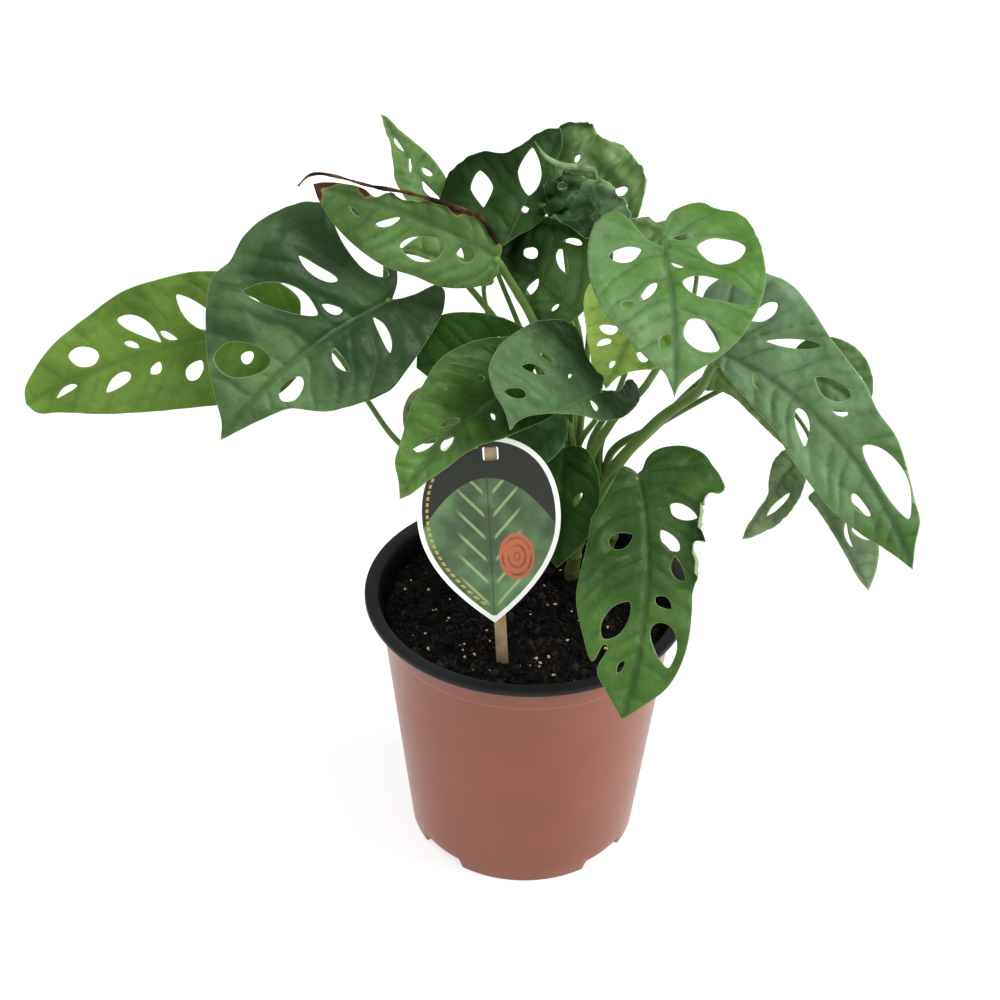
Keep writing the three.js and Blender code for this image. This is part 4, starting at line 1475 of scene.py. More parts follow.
@dataclass
class Soil:
    """Dark potting soil, heaped up a little round the stems and the stick."""

    top: float = 142.0
    radius: float = 75.05
    low_radius: float = 60.8
    bottom: float = 8.35
    stems: Sequence[Triple] = ((8, 44, 9), (24, 60, 9), (42, 40, 9), (24, 24, 9), (-14, -50, 6))

    def height(self, x: float, y: float) -> float:
        """Give the soil's height at a spot.

        Args:
            x: Across.
            y: Deep.

        Returns:
            The height.
        """
        edge = min(max((self.radius - math.hypot(x, y)) / 8.0, 0.0), 1.0)
        rough = noise.fractal(Vector((x * 0.16, y * 0.16, 3.0)), 0.7, 2.0, 5)
        broad = noise.noise(Vector((x * 0.04, y * 0.04, 9.0)))
        near = (((x - a) ** 2 + (y - b) ** 2) / wide**2 for a, b, wide in self.stems)
        heap = sum(1.6 * math.exp(-share) for share in near)
        return self.top - 1.4 + edge * (1.5 * rough + 1.8 * broad) + heap - 0.8 * (1 - edge)

    def disc(
        self, radius: float, turns: int, rings: int, sink: float = 0.0
    ) -> tuple[list[Triple], list[list[int]]]:
        """Draw the soil's top in rings round its middle.

        Args:
            radius: The outermost ring's radius.
            turns: How many corners a ring has.
            rings: How many rings.
            sink: How far the rings lie under the top.

        Returns:
            The corners and the faces.
        """
        points = [(0.0, 0.0, self.height(0, 0))]
        for r in range(1, rings + 1):
            for k in range(turns):
                angle = TURN * k / turns
                x = radius * r / rings * math.cos(angle)
                y = radius * r / rings * math.sin(angle)
                points.append((x, y, self.height(x, y) - sink))
        faces = [[0, 1 + k, 1 + (k + 1) % turns] for k in range(turns)]
        for r in range(rings - 1):
            faces += ring_faces(1 + r * turns, turns)
        return points, faces

    def build(self) -> Piece:
        """Make the soil's body.

        Returns:
            The piece.
        """
        turns, rings = 200, 64
        points, faces = self.disc(self.radius, turns, rings)
        for k in range(turns):
            angle = TURN * k / turns
            x, y = self.low_radius * math.cos(angle), self.low_radius * math.sin(angle)
            points.append((x, y, self.bottom))
        points.append((0.0, 0.0, self.bottom))
        faces += ring_faces(1 + (rings - 1) * turns, turns)
        last = 1 + rings * turns
        faces += [[last + k, len(points) - 1, last + (k + 1) % turns] for k in range(turns)]
        piece = make_object("potting_soil", np.array(points), faces)
        face_outwards(piece)
        mark(piece, "low", np.zeros(len(piece.data.vertices)))
        return show_as(piece, ["soil"], "soil", Stuff.SOIL.material())

    def top_sheet(self) -> Piece:
        """Make a loose copy of the soil's top, for grains to lie on.

        Returns:
            The sheet.
        """
        points, faces = self.disc(self.radius - 2.5, turns=72, rings=24, sink=0.2)
        return make_object("soil_top_sheet", np.array(points), faces)


class Lump(Enum):
    """The shape of a strewn lump."""

    CRUMB = "crumb"
    FIBRE = "fibre"


def random_vector(tree: Tree, low: Triple, high: Triple) -> Socket:
    """Add a random vector.

    Args:
        tree: The node tree.
        low: The least of each part.
        high: The most of each part.

    Returns:
        The vector's socket.
    """
    node = add_node(tree, "FunctionNodeRandomValue", data_type="FLOAT_VECTOR")
    node.inputs[0].default_value, node.inputs[1].default_value = low, high
    return node.outputs[0]


@dataclass
class Grains:
    """Small uneven lumps strewn over a surface."""

    name: str
    density: float
    small: float
    large: float
    seed: int
    stuff: Stuff
    finer: int = 1
    shape: Lump = Lump.CRUMB

    def lump(self, tree: Tree) -> Node:
        """Add the node that makes one lump, about 1 in radius.

        Args:
            tree: The node tree.

        Returns:
            The node.
        """
        if self.shape is Lump.FIBRE:
            kind = "GeometryNodeMeshCylinder"
            sizes = {"Vertices": 6, "Side Segments": 3, "Radius": 0.13, "Depth": 3.4}
        else:
            kind = "GeometryNodeMeshIcoSphere"
            sizes = {"Radius": 1.0, "Subdivisions": self.finer}
        lump = tree.nodes.new(kind)
        for key, value in sizes.items():
            lump.inputs[key].default_value = value
        return lump

    def tree(self) -> tuple[Tree, dict[str, str]]:
        """Draw the node tree that strews the lumps.

        Returns:
            The tree and its inputs' identifiers by name.
        """
        tree = bpy.data.node_groups.new(f"strew_{self.name}", "GeometryNodeTree")
        face, new = tree.interface, tree.nodes.new
        face.new_socket("Geometry", in_out="OUTPUT", socket_type="NodeSocketGeometry")
        kinds = {
            "Surface": "Geometry", "Density": "Float", "Smallest": "Float", "Largest": "Float",
            "Seed": "Int", "Material": "Material",
        }
        names = {}
        for key, kind in kinds.items():
            socket = face.new_socket(key, in_out="INPUT", socket_type=f"NodeSocket{kind}")
            names[key] = socket.identifier
        given, out = new("NodeGroupInput").outputs, new("NodeGroupOutput").inputs
        # Strewn over the surface, each lump with a size, a form and a turn of its own
        strew, lump = new("GeometryNodeDistributePointsOnFaces"), self.lump(tree)
        size = add_node(tree, "FunctionNodeRandomValue", data_type="FLOAT")
        shape = random_vector(tree, (0.6, 0.6, 0.45), (1.25, 1.1, 0.85))
        flat = self.shape is Lump.FIBRE
        low, high = ((1.35, 0, 0), (1.75, 0.3, 6.28)) if flat else ((0, 0, 0), (6.28, 6.28, 6.28))
        turn = random_vector(tree, low, high)
        scale = add_node(tree, "ShaderNodeVectorMath", operation="SCALE")
        put, real = new("GeometryNodeInstanceOnPoints"), new("GeometryNodeRealizeInstances")
        # Corners pushed about by noise, which makes every lump uneven
        rough = new("ShaderNodeTexNoise")
        rough.inputs["Scale"].default_value = 900.0
        centre = add_node(tree, "ShaderNodeVectorMath", operation="SUBTRACT")
        centre.inputs[1].default_value = (0.5, 0.5, 0.5)
        push = add_node(tree, "ShaderNodeVectorMath", operation="SCALE")
        push.inputs["Scale"].default_value = self.large * (0.25 if flat else 0.9) * MM
        shift, dress = new("GeometryNodeSetPosition"), new("GeometryNodeSetMaterial")
        joins = [
            (given["Surface"], strew.inputs["Mesh"]),
            (given["Density"], strew.inputs["Density"]),
            (given["Seed"], strew.inputs["Seed"]),
            (strew.outputs["Points"], put.inputs["Points"]),
            (lump.outputs["Mesh"], put.inputs["Instance"]),
            (given["Smallest"], size.inputs[2]),
            (given["Largest"], size.inputs[3]),
            (shape, scale.inputs[0]),
            (size.outputs[1], scale.inputs["Scale"]),
            (scale.outputs[0], put.inputs["Scale"]),
            (turn, put.inputs["Rotation"]),
            (put.outputs["Instances"], real.inputs["Geometry"]),
            (real.outputs["Geometry"], shift.inputs["Geometry"]),
            (rough.outputs[1], centre.inputs[0]),
            (centre.outputs[0], push.inputs[0]),
            (push.outputs[0], shift.inputs["Offset"]),
            (shift.outputs["Geometry"], dress.inputs["Geometry"]),
            (given["Material"], dress.inputs["Material"]),
            (dress.outputs["Geometry"], out["Geometry"]),
        ]
        for source, target in joins:
            tree.links.new(source, target)
        return tree, names

    def build(self, sheet: Piece) -> Piece:
        """Strew the lumps over a sheet.

        Args:
            sheet: The sheet to lie on; it is left as it is.

        Returns:
            The piece.
        """
        tree, names = self.tree()
        modifier = sheet.modifiers.new("strew", "NODES")
        modifier.node_group = tree
        values = {
            "Density": self.density, "Smallest": self.small * MM, "Largest": self.large * MM,
            "Seed": self.seed, "Material": self.stuff.material(),
        }
        for key, value in values.items():
            modifier[names[key]] = value
        ready = sheet.evaluated_get(bpy.context.evaluated_depsgraph_get())
        mesh = bpy.data.meshes.new_from_object(ready)
        sheet.modifiers.remove(modifier)
        piece = put_up(self.name, mesh)
        mark(piece, "low", np.zeros(len(mesh.vertices)))
        return show_as(piece, [], "soil")


# ---- Card and stick


@dataclass
class PlantCard:
    """The printed card on its wooden stick, in one leaning frame."""

    foot: Triple = (-16.6, -45.0, 164.3)
    head: Triple = (-23.0, -22.0, 259.7)
    width: float = 70.0
    length: float = 98.0
    thick: float = 1.2
    bow: float = 0.25
    slot_box: tuple[float, float, float, float] = (-1.3, 85.6, 6.3, 92.6)
    slot_corner: float = 1.0
    stick_width: float = 6.0
    stick_thick: float = 2.0
    stick_low: float = -54.0
    stick_high: float = 91.5
    stick_offset: float = 2.5
    stick_edge: float = 0.35
    gap: float = 0.35

    def place(self, local: np.ndarray) -> np.ndarray:
        """Turn points of the card's frame into points of the room.

        Args:
            local: Across, up and outwards, one point to a row.

        Returns:
            The points in millimetres.
        """
        foot, head = np.array(self.foot), np.array(self.head)
        up = unit(head - foot)
        across = unit(np.array([1.0, 0.0, 0.0]) - up * up[0])
        return foot + local @ np.vstack([across, up, np.cross(across, up)])

    def outline(self) -> np.ndarray:
        """Draw the card's edge, from the pointed foot round to the foot again.

        Returns:
            The closed loop.
        """
        w, h = self.width / 2, self.length
        arcs = [
            ((0, 0), (w * 0.55, h * 0.16), (w, h * 0.34), (w, h * 0.58)),
            ((w, h * 0.58), (w, h * 0.84), (w * 0.62, h), (0, h)),
            ((0, h), (-w * 0.62, h), (-w, h * 0.84), (-w, h * 0.58)),
            ((-w, h * 0.58), (-w, h * 0.34), (-w * 0.55, h * 0.16), (0, 0)),
        ]
        t = np.linspace(0, 1, 44, endpoint=False)[:, None]
        loops = []
        for a, b, c, d in (np.array(arc, float) for arc in arcs):
            near, far = (1 - t) ** 3 * a + 3 * (1 - t) ** 2 * t * b, 3 * (1 - t) * t**2 * c
            loops.append(near + far + t**3 * d)
        return np.vstack(loops)

    def slot(self) -> np.ndarray:
        """Draw the edge of the slot near the head, with rounded corners.

        Returns:
            The closed loop.
        """
        x1, y1, x2, y2 = self.slot_box
        r = self.slot_corner
        middles = ((x1 + r, y1 + r), (x2 - r, y1 + r), (x2 - r, y2 - r), (x1 + r, y2 - r))
        spots = []
        for (x, y), start in zip(middles, (180, 270, 0, 90)):
            for angle in np.radians(np.linspace(start, start + 90, 5)):
                spots.append((x + r * math.cos(angle), y + r * math.sin(angle)))
        return np.array(spots)

    def build_card(self) -> Piece:
        """Make the card.

        Returns:
            The piece.
        """
        outline = self.outline()
        flat, triangles = fill_flat(outline, [self.slot()], 2.6)
        rim = nearest(flat, outline)[0]
        bow = self.bow * np.sin(flat[:, 1] / self.length * math.pi)
        heights = (self.thick - 0.25, 0.05)
        top, under = (self.place(np.column_stack([flat, bow + z])) for z in heights)
        piece = thin_sheet("plant_card", top, under, triangles)
        mark(piece, "rim", np.tile(rim, 2))
        sheet = piece.data.uv_layers.new(name="UVMap")
        shares = np.column_stack([flat[:, 0] / self.width + 0.5, flat[:, 1] / self.length])
        corner = np.empty(len(piece.data.loops), np.int32)
        piece.data.loops.foreach_get("vertex_index", corner)
        spots = np.tile(shares, (2, 1))[corner]
        sheet.data.foreach_set("uv", spots.astype(np.float32).ravel())
        piece.data.set_sharp_from_angle(angle=math.radians(40))
        return show_as(piece, ["label_card"], "card", CardFinish().material("card_print"))

    def build_stick(self) -> Piece:
        """Make the stick.

        Returns:
            The piece.
        """
        w, t, soft = self.stick_width / 2, self.stick_thick / 2, self.stick_edge
        levels = np.append(np.arange(self.stick_low, self.stick_high, 3.0), self.stick_high)
        ring = [
            (-w, -t + soft), (-w + soft, -t), (w - soft, -t), (w, -t + soft),
            (w, t - soft), (w - soft, t), (-w + soft, t), (-w, t - soft),
        ]
        local = [(x + self.stick_offset, y, z - self.gap - t) for y in levels for x, z in ring]
        faces = tube_faces(len(levels), len(ring), 0)
        piece = make_object("wooden_stick", self.place(np.array(local)), faces)
        face_outwards(piece)
        piece.data.set_sharp_from_angle(angle=math.radians(30))
        damp = np.clip(1 - (np.repeat(levels, len(ring)) + 26) / 18.0, 0, 1)
        mark(piece, "low", damp[: len(piece.data.vertices)])
        return show_as(piece, ["label_stick"], "stick", Stuff.WOOD.material())


# ---- The plant's leaves


def plant_leaves() -> list[Leaf]:
    """List the plant's leaves with their places, edges and holes.

    Returns:
        The leaves.
    """
    return [
        Leaf(
            "far_left", (-120, 79, 256), (-260, 41, 235), -54, 14, 6, (10, 10), (1.5, 2, 0),
            [(0, 6), (4, 12), (13, 18), (24, 19), (36, 17), (50, 15), (62, 13), (76, 10), (89, 6),
             (97, 4)],
            [(-1, 7), (-2, 13), (2, 19), (10, 25), (23, 29), (33, 31), (44, 31), (57, 30), (70, 25),
             (85, 18), (94, 11), (99, 5)],
            LeafFinish((108, 138, 58), (70, 100, 28)), "leaf_light", 0,
            [(-28, 49, 182), (-68, 57, 203), (-87, 69, 224), (-106, 85, 245)],
            [(35, -17, 16, 7, 55), (55, -16, 16, 5, 43), (46, -11, 6, 2, 39), (59, -11, 5, 2, 33),
             (76, -11, 10, 7, 14), (85, -1, 8, 2, 162), (67, 0.5, 10, 4, 25), (53, -1, 5, 3, 141),
             (40, 3, 8, 5, 45), (21, 3, 5, 4, 40), (17, -18, 12, 3, 39)],
            sway=-7, ribs=9, quilt=0.6, painted_light=(1.0, 0.1), seed=3, dry=[(11, 8, 3)],
        ),
        Leaf(
            "left", (-70, 44, 297), (-150, -21, 254), -42, 18, 8, (14, 14), (1.5, 2.5, 0.2),
            [(-5, 3), (-13, 5), (-21, 7), (-22, 11), (-15, 18), (4, 25), (19, 29), (31, 31),
             (49, 25), (58, 20), (69, 9), (77, 6), (88, 3)],
            [(-6, 4), (-11, 9), (-17, 19), (-16, 34), (-11, 46), (-3, 53), (4, 59), (19, 62),
             (36, 61), (46, 57), (57, 56), (67, 48), (74, 40), (83, 28), (89, 17), (95, 5)],
            LeafFinish((92, 120, 76), (42, 68, 34)), "leaf_bluish", 0,
            [(5, 54, 234), (-16, 72, 267), (-48, 88, 296), (-72, 79, 306), (-74, 60, 304)],
            [(19, -30, 19, 5, 70), (25, -13, 9, 4, 54), (40, -30, 32, 11, 56),
             (70, -20, 23, 15, 42), (62, 3, 13, 8, 9), (38, 7, 12, 4, 81), (15, 10, 17, 4, 71),
             (-3, -26, 33, 9, 85)],
            sway=-6, ribs=12, quilt=1.5, stout=1.2, painted_light=(1.1, -0.5), seed=8,
        ),
        Leaf(
            "upper_left", (-17, 50, 317), (-108, 58, 352), -56, 22, 0, (30, 20), (1, 2, 0),
            [(-2, 7), (2, 14), (11, 20), (23, 24), (37, 24), (53, 25), (70, 21), (83, 15), (94, 7)],
            [(1, 6), (5, 8), (13, 12), (18, 18), (23, 15), (33, 14), (43, 13), (55, 9), (64, 10),
             (69, 5), (76, 7), (85, 6), (95, 3)],
            LeafFinish((96, 128, 72), (66, 96, 42)), "leaf_mid", 0,
            [(13, 46, 239), (1, 54, 279), (-11, 56, 301)],
            [(17, 4, 9, 8, 25), (38, 9, 22, 12, 26), (59, 4, 12, 3, 38), (76, 5, 6, 2, 156)],
            sway=-3, ribs=11, rolls=[(50, -12, 24, 2.5, 110)], stout=1.8, painted_light=(0.3, 0.3), seed=4,
            dry=[(99, 0, 7), (93, -2, 5), (75, -6, 3), (60, -9, 3), (45, -13, 2.5), (30, -14, 3),
                 (20, -17, 5)],
        ),
        Leaf(
            "top", (-44, 92, 314), (-80, 134, 358), -18, 10, 12, (8, 8), (0.5, 2, 0),
            [(3, 9), (14, 16), (30, 19), (47, 18), (62, 12), (76, 6), (89, 3)],
            [(-1, 10), (7, 16), (20, 17), (32, 17), (48, 16), (63, 12), (81, 6), (94, 3)],
            LeafFinish((104, 136, 78), (86, 118, 62)), "leaf_light", 1,
            [(16, 79, 231), (0, 101, 267), (-22, 110, 291), (-39, 104, 306)],
            [(72, 0.5, 12, 3, 1), (53, 2, 12, 2, 148), (43, -7, 9, 4, 160), (29, -2, 18, 4, 165)],
            ribs=11, seed=6,
        ),
        Leaf(
            "back_left", (-14, 69, 316), (14, 123, 356), 24, 10, 0, (40, 25), (1.5, 1.5, 0),
            [(0, 7), (-1, 23), (2, 42), (9, 55), (19, 58), (37, 59), (51, 53), (60, 44), (63, 30),
             (73, 21), (86, 15), (96, 7)],
            [(9, 5), (21, 13), (38, 17), (55, 15), (71, 8), (87, 6)],
            LeafFinish((56, 84, 42), (22, 46, 12), gloss=0.12), "leaf_dark", 1,
            [(9, 62, 232), (-9, 75, 273), (-18, 81, 294), (-21, 79, 307)],
            [(32, 32, 27, 14, 28), (57, 6, 36, 16, 19), (29, -2, 5, 5, 47)],
            ribs=14, quilt=1.4, painted_light=(0, 1.0), angular=1.4, seed=7,
        ),
        Leaf(
            "back_right", (9, 104, 321), (54, 94, 320), 55, -20, 0, (20, 20), (2, 2.5, 0),
            [(-8, 11), (-11, 34), (-12, 64), (-4, 89), (12, 101), (26, 102), (48, 85), (64, 83),
             (86, 65), (101, 45), (103, 22)],
            [(8, 8), (29, 9), (51, 5), (73, 5), (88, 3)],
            LeafFinish((106, 136, 82), (46, 74, 28)), "leaf_mid", 1,
            [(24, 85, 228), (21, 107, 265), (16, 116, 299)],
            [(75, 28, 16, 10, 6), (21, 58, 11, 5, 70)],
            ribs=20, quilt=1.4, rolls=[(10, 101, 30, 4.5, 150), (101, 40, 26, 4, 120)], swell=1.3,
            painted_light=(1.0, -0.3), seed=9,
        ),
        Leaf(
            "crumpled", (29, 88, 343), (34, 64, 323), 30, 20, 16, (12, 12), (5, 3, 0),
            [(11, 22), (37, 42), (57, 52), (84, 58), (93, 36)],
            [(-14, 25), (-22, 58), (2, 76), (27, 84), (42, 80), (74, 46), (96, 20)],
            LeafFinish((132, 162, 122), (42, 72, 34)), "leaf_bluish", 1,
            [(29, 73, 236), (32, 83, 272), (40, 83, 301), (38, 87, 317), (33, 92, 331)],
            [(3, -47, 14, 7, 81)],
            ribs=26, quilt=1.2, pleats=2.4, swell=1.6, painted_light=(0, -1.0), seed=10,
        ),
        Leaf(
            "centre_back", (23, 54, 283), (-13, 89, 296), -41, 20, 4, (30, 30), (1, 2, 0),
            [(4, 12), (21, 25), (42, 27), (65, 23), (86, 12)],
            [(-1, 17), (10, 41), (34, 64), (59, 73), (87, 65), (107, 48), (114, 29), (111, 12)],
            LeafFinish((74, 106, 52), (34, 62, 18), (150, 178, 120)), "leaf_dark", 1,
            [(22, 58, 232), (26, 58, 262)],
            [(84, -21, 15, 12, 176), (51, -34, 29, 10, 29), (59, -56, 20, 8, 155),
             (57, 4, 18, 9, 96), (24, 6, 9, 5, 82)],
            ribs=18, rolls=[(95, -55, 80, 9, 170)], painted_light=(-0.8, 0.4), seed=11,
        ),
        Leaf(
            "right", (61, 32, 334), (65, -37, 291), 3, 24, 4, (14, 14), (1, 2, 0),
            [(-12, 2), (-26, 6), (-33, 15), (-36, 27), (-28, 38), (-25, 48), (-14, 55), (7, 58),
             (28, 58), (47, 52), (66, 40), (78, 26), (87, 10), (92, 4)],
            [(-3, 5), (-12, 12), (-26, 19), (-32, 27), (-24, 36), (-8, 42), (10, 44), (32, 42),
             (50, 35), (65, 23), (78, 13), (85, 5), (93, 2)],
            LeafFinish((104, 136, 88), (84, 122, 50)), "leaf_mid", 2,
            [(31, 41, 199), (42, 41, 229), (59, 40, 253), (69, 42, 280), (67, 44, 310)],
            [(6, -22, 19, 10, 74), (-6, 14, 15, 5, 95), (5, 35, 27, 20, 85), (15, 8, 7, 2, 65),
             (35, 30, 42, 14, 68), (33, -10, 15, 5, 39), (42, -23, 7, 5, 71), (64, 18, 24, 16, 37),
             (66, -3, 10, 6, 27)],
            sway=3, ribs=14, stout=1.25, painted_light=(0.1, 0.8), seed=12,
        ),
        Leaf(
            "yellow_green", (55, 41, 300), (36, 1, 273), -22, 16, 6, (10, 10), (1, 2, 0),
            [(-6, 16), (6, 34), (26, 46), (49, 46), (64, 34), (74, 18), (84, 7)],
            [(-7, 15), (-6, 38), (7, 53), (28, 53), (52, 42), (73, 29), (86, 21), (95, 9)],
            LeafFinish((172, 200, 108), (104, 138, 48)), "leaf_light", 2,
            [(32, 50, 206), (44, 51, 237), (55, 53, 280)],
            [(45, -20, 18, 10, 62), (60, -19, 14, 6, 47), (76, -4, 9, 4, 11), (57, 19, 12, 8, 72)],
            ribs=16, painted_light=(-0.2, 0.8), seed=13,
        ),
        Leaf(
            "inner_left", (-21, 68, 300), (-66, 72, 312), -46, 14, 6, (10, 10), (1, 2, 0),
            [(-5, 10), (6, 17), (32, 14), (57, 8), (80, 5)],
            [(1, 13), (14, 24), (39, 30), (66, 28), (85, 17)],
            LeafFinish((118, 146, 84), (96, 124, 58)), "leaf_light", 0,
            [(0, 62, 235), (-18, 69, 259), (-23, 71, 276), (-25, 72, 290)], [(40, -12, 15, 7, 40)],
            ribs=16, seed=14,
        ),
        Leaf(
            "inner_right", (81, 71, 315), (44, 77, 327), -35, 14, 4, (10, 10), (1.5, 2, 0),
            [(7, 25), (27, 34), (54, 29), (78, 14)],
            [(-4, 18), (11, 29), (35, 26), (57, 12), (68, 15), (83, 7)],
            LeafFinish((122, 146, 94), (66, 96, 44)), "leaf_mid", 2,
            [(38, 55, 209), (63, 66, 240), (82, 75, 278), (84, 77, 302)],
            ribs=18, seed=15,
        ),
        Leaf(
            "front_left", (-3, -6, 281), (-61, -71, 255), -38, 22, 6, (16, 16), (1, 2, 0.3),
            [(-6, 8), (-4, 19), (5, 23), (21, 19), (39, 13), (50, 8), (59, 6), (71, 5), (84, 3),
             (94, 2)],
            [(-12, 3), (-18, 9), (-14, 18), (-6, 26), (5, 32), (21, 37), (35, 38), (47, 35),
             (63, 30), (77, 22), (89, 15), (94, 7)],
            LeafFinish((88, 122, 54), (38, 68, 18)), "leaf_dark", 3,
            [(16, 34, 220), (7, 13, 258), (1, 1, 273)],
            [(42, -27, 5, 2, 79), (22, -17, 4, 3, 45), (53, -11, 12, 3, 20), (71, -11, 14, 3, 16),
             (62, -4, 9, 4, 174), (32, 2, 4, 2, 64)],
            sway=-6, ribs=11, quilt=1.4, painted_light=(1.2, 0), seed=16,
        ),
        Leaf(
            "centre", (33, -11, 279), (-11, -60, 286), -48, 22, 4, (18, 18), (1.5, 2, 0),
            [(-22, 5), (-46, 0), (-58, 6), (-48, 16), (-31, 21), (-7, 24), (15, 21), (33, 12),
             (47, 6), (58, 2), (72, -2), (84, -4), (93, -3)],
            [(-9, 8), (-1, 19), (0, 32), (-3, 47), (8, 58), (27, 63), (57, 61), (79, 55), (95, 44),
             (99, 30), (98, 16)],
            LeafFinish((80, 108, 70), (26, 50, 16), gloss=0.2, mottle=0.7), "leaf_bluish", 3,
            [(24, 26, 220), (32, 6, 253), (34, -4, 270)],
            [(59, -32, 18, 6, 38), (83, -22, 17, 7, 26), (42, -35, 13, 5, 55), (18, 8, 9, 5, 107),
             (29, -18, 6, 2, 166)],
            ribs=16, quilt=0.8, swell=0.7, painted_light=(3.0, -1.3, -0.65), seed=17,
        ),
        Leaf(
            "shade_left", (1, 44, 268), (-58, 32, 265), -55, 14, 6, (14, 14), (1, 2, 0),
            [(5, 9), (20, 21), (46, 26), (71, 21), (90, 10)],
            [(-3, 10), (5, 21), (25, 33), (51, 40), (74, 40), (89, 26), (97, 13)],
            LeafFinish((66, 98, 46), (46, 78, 32), gloss=0.08), "leaf_dark", 0,
            [(14, 54, 222), (7, 50, 252)], [(32, -12, 13, 4, 138)],
            ribs=15, seed=18,
        ),
        Leaf(
            "far_right", (94, 27, 279), (180, -68, 217), 36, 24, 10, (14, 14), (1.5, 2, 0.1),
            [(-7, 2), (-16, 4), (-23, 11), (-22, 18), (-18, 25), (-11, 30), (0, 33), (12, 32),
             (23, 30), (34, 29), (43, 28), (53, 25), (63, 24), (73, 20), (83, 15), (89, 12),
             (94, 6)],
            [(4, 4), (12, 5), (24, 5), (36, 5), (45, 7), (57, 8), (70, 8), (80, 6), (89, 3)],
            LeafFinish((122, 150, 116), (74, 108, 48), mottle=0.6), "leaf_bluish", 2,
            [(38, 38, 187), (65, 40, 230), (85, 38, 250), (91, 36, 266)],
            [(0, 20, 10, 5, 75), (16, 20, 18, 3, 40), (17, 2, 5, 2, 152), (37, 19, 13, 6, 16),
             (45, 15.5, 5, 2, 33), (40, 3, 13, 4, 150), (73, 0.5, 9, 3, 177), (72, 13, 27, 8, 171)],
            sway=9, ribs=9, quilt=1.5, stout=2.0, painted_light=(-0.8, 0.3), seed=19,
        ),
        Leaf(
            "right_back", (131, 44, 265), (171, 29, 246), 51, 14, 4, (14, 14), (1, 2, 0),
            [(-1, 19), (9, 37), (31, 48), (56, 49), (79, 38), (93, 20)],
            [(13, 16), (36, 25), (63, 24), (84, 13)],
            LeafFinish((98, 126, 76), (50, 82, 30)), "leaf_mid", 2,
            [(43, 52, 202), (68, 53, 221), (98, 51, 243), (123, 49, 258)],
            [(42, 10, 18, 5, 17), (76, 22, 11, 4, 147)],
            ribs=17, seed=20,
        ),
        Leaf(
            "low_narrow", (132, 1, 234), (103, -38, 212), -2, 14, 8, (14, 14), (1.5, 2.5, 0),
            [(5, 13), (22, 23), (41, 27), (59, 27), (76, 22), (91, 12)],
            [(-4, 13), (12, 16), (35, 9), (49, 2), (66, 2), (78, 2), (89, 2)],
            LeafFinish((124, 142, 106), (82, 104, 62)), "leaf_mid", 2,
            [(39, 41, 188), (65, 42, 228), (88, 48, 247), (115, 60, 244), (133, 36, 235),
             (133, 12, 236)],
            [(54, 13, 30, 6, 170)],
            ribs=15, stout=0.8, seed=21,
        ),
        Leaf(
            "low_right", (141, -11, 223), (165, -52, 192), 36, 14, 8, (14, 14), (1, 2, 0),
            [(11, 12), (25, 23), (48, 29), (69, 26), (85, 16)],
            [(3, 8), (18, 6), (40, 4), (68, 3), (86, 3)],
            LeafFinish((132, 152, 120), (108, 130, 86)), "leaf_mid", 2,
            [(39, 42, 187), (66, 43, 226), (91, 53, 245), (119, 66, 241), (143, 42, 226),
             (143, 8, 222)],
            [(50, 7, 20, 3, 166), (54, 18, 19, 6, 28)],
            ribs=15, stout=0.8, seed=22,
        ),
        Leaf(
            "low_back", (94, 51, 257), (129, 20, 229), 39, 14, 4, (14, 14), (1, 2, 0),
            [(-4, 13), (16, 24), (49, 24), (80, 14)],
            [(2, 15), (12, 21), (20, 13), (35, 6), (59, 4), (82, 2)],
            LeafFinish((136, 156, 102), (104, 124, 68)), "leaf_mid", 2,
            [(39, 43, 188), (66, 45, 226), (84, 50, 246)],
            ribs=16, stout=0.8, seed=23,
        ),
        Leaf(
            "front", (51, -24, 240), (43, -118, 165), -4, 26, 4, (14, 14), (1.5, 2, 0),
            [(-2, 2), (-8, 4), (-13, 10), (-15, 18), (-12, 26), (-4, 32), (5, 35), (10, 28),
             (23, 26), (32, 23), (38, 25), (48, 24), (58, 24), (70, 23), (80, 20), (87, 16),
             (94, 8), (97, 4)],
            [(-1, 3), (-2, 6), (4, 9), (13, 13), (22, 17), (32, 18), (44, 20), (55, 21), (67, 18),
             (79, 13), (72, 9), (73, 7.5), (82, 11), (91, 6), (97, 2)],
            LeafFinish((74, 108, 46), (46, 76, 26), (235, 240, 225)), "leaf_mid", 3,
            [(33, 22, 185), (44, 6, 222), (50, -14, 234)],
            [(30, -5, 10, 6, 58), (62, -5, 17, 8, 32), (16, 19, 11, 6, 65), (29, 14, 10, 5, 43),
             (40, 18, 10, 4, 23), (54, 13, 7, 4, 58), (70, 14, 17, 9, 17), (80, -2, 5, 2, 26)],
            sway=6, ribs=10, quilt=1.3, rolls=[(19, 27, 13, 8, 160), (38, 25, 11, 6, 160)],
            painted_light=(0.9, 0), seed=24,
        ),
        Leaf(
            "shade_front", (16, 13, 230), (14, -26, 184), -2, 16, 6, (14, 14), (1, 2, 0),
            [(-3, 8), (0, 20), (14, 29), (35, 33), (59, 30), (79, 21), (91, 9)],
            [(0, 9), (7, 20), (26, 27), (49, 28), (69, 22), (87, 11)],
            LeafFinish((60, 88, 44), (38, 62, 26), gloss=0.08), "leaf_dark", 3,
            [(25, 29, 200), (21, 22, 218)], [(42, 15, 12, 4, 154)],
            ribs=15, seed=25,
        ),
        Leaf(
            "shade_centre", (17, 7, 252), (-13, -18, 234), -41, 14, 4, (10, 10), (1, 2, 0),
            [(10, 13), (29, 22), (53, 23), (78, 15)],
            [(-1, 11), (12, 23), (37, 32), (61, 32), (83, 21)],
            LeafFinish((92, 124, 82), (60, 94, 52), gloss=0.08), "leaf_bluish", 3,
            [(24, 27, 208), (20, 16, 240)],
            ribs=16, seed=26,
        ),
        Leaf(
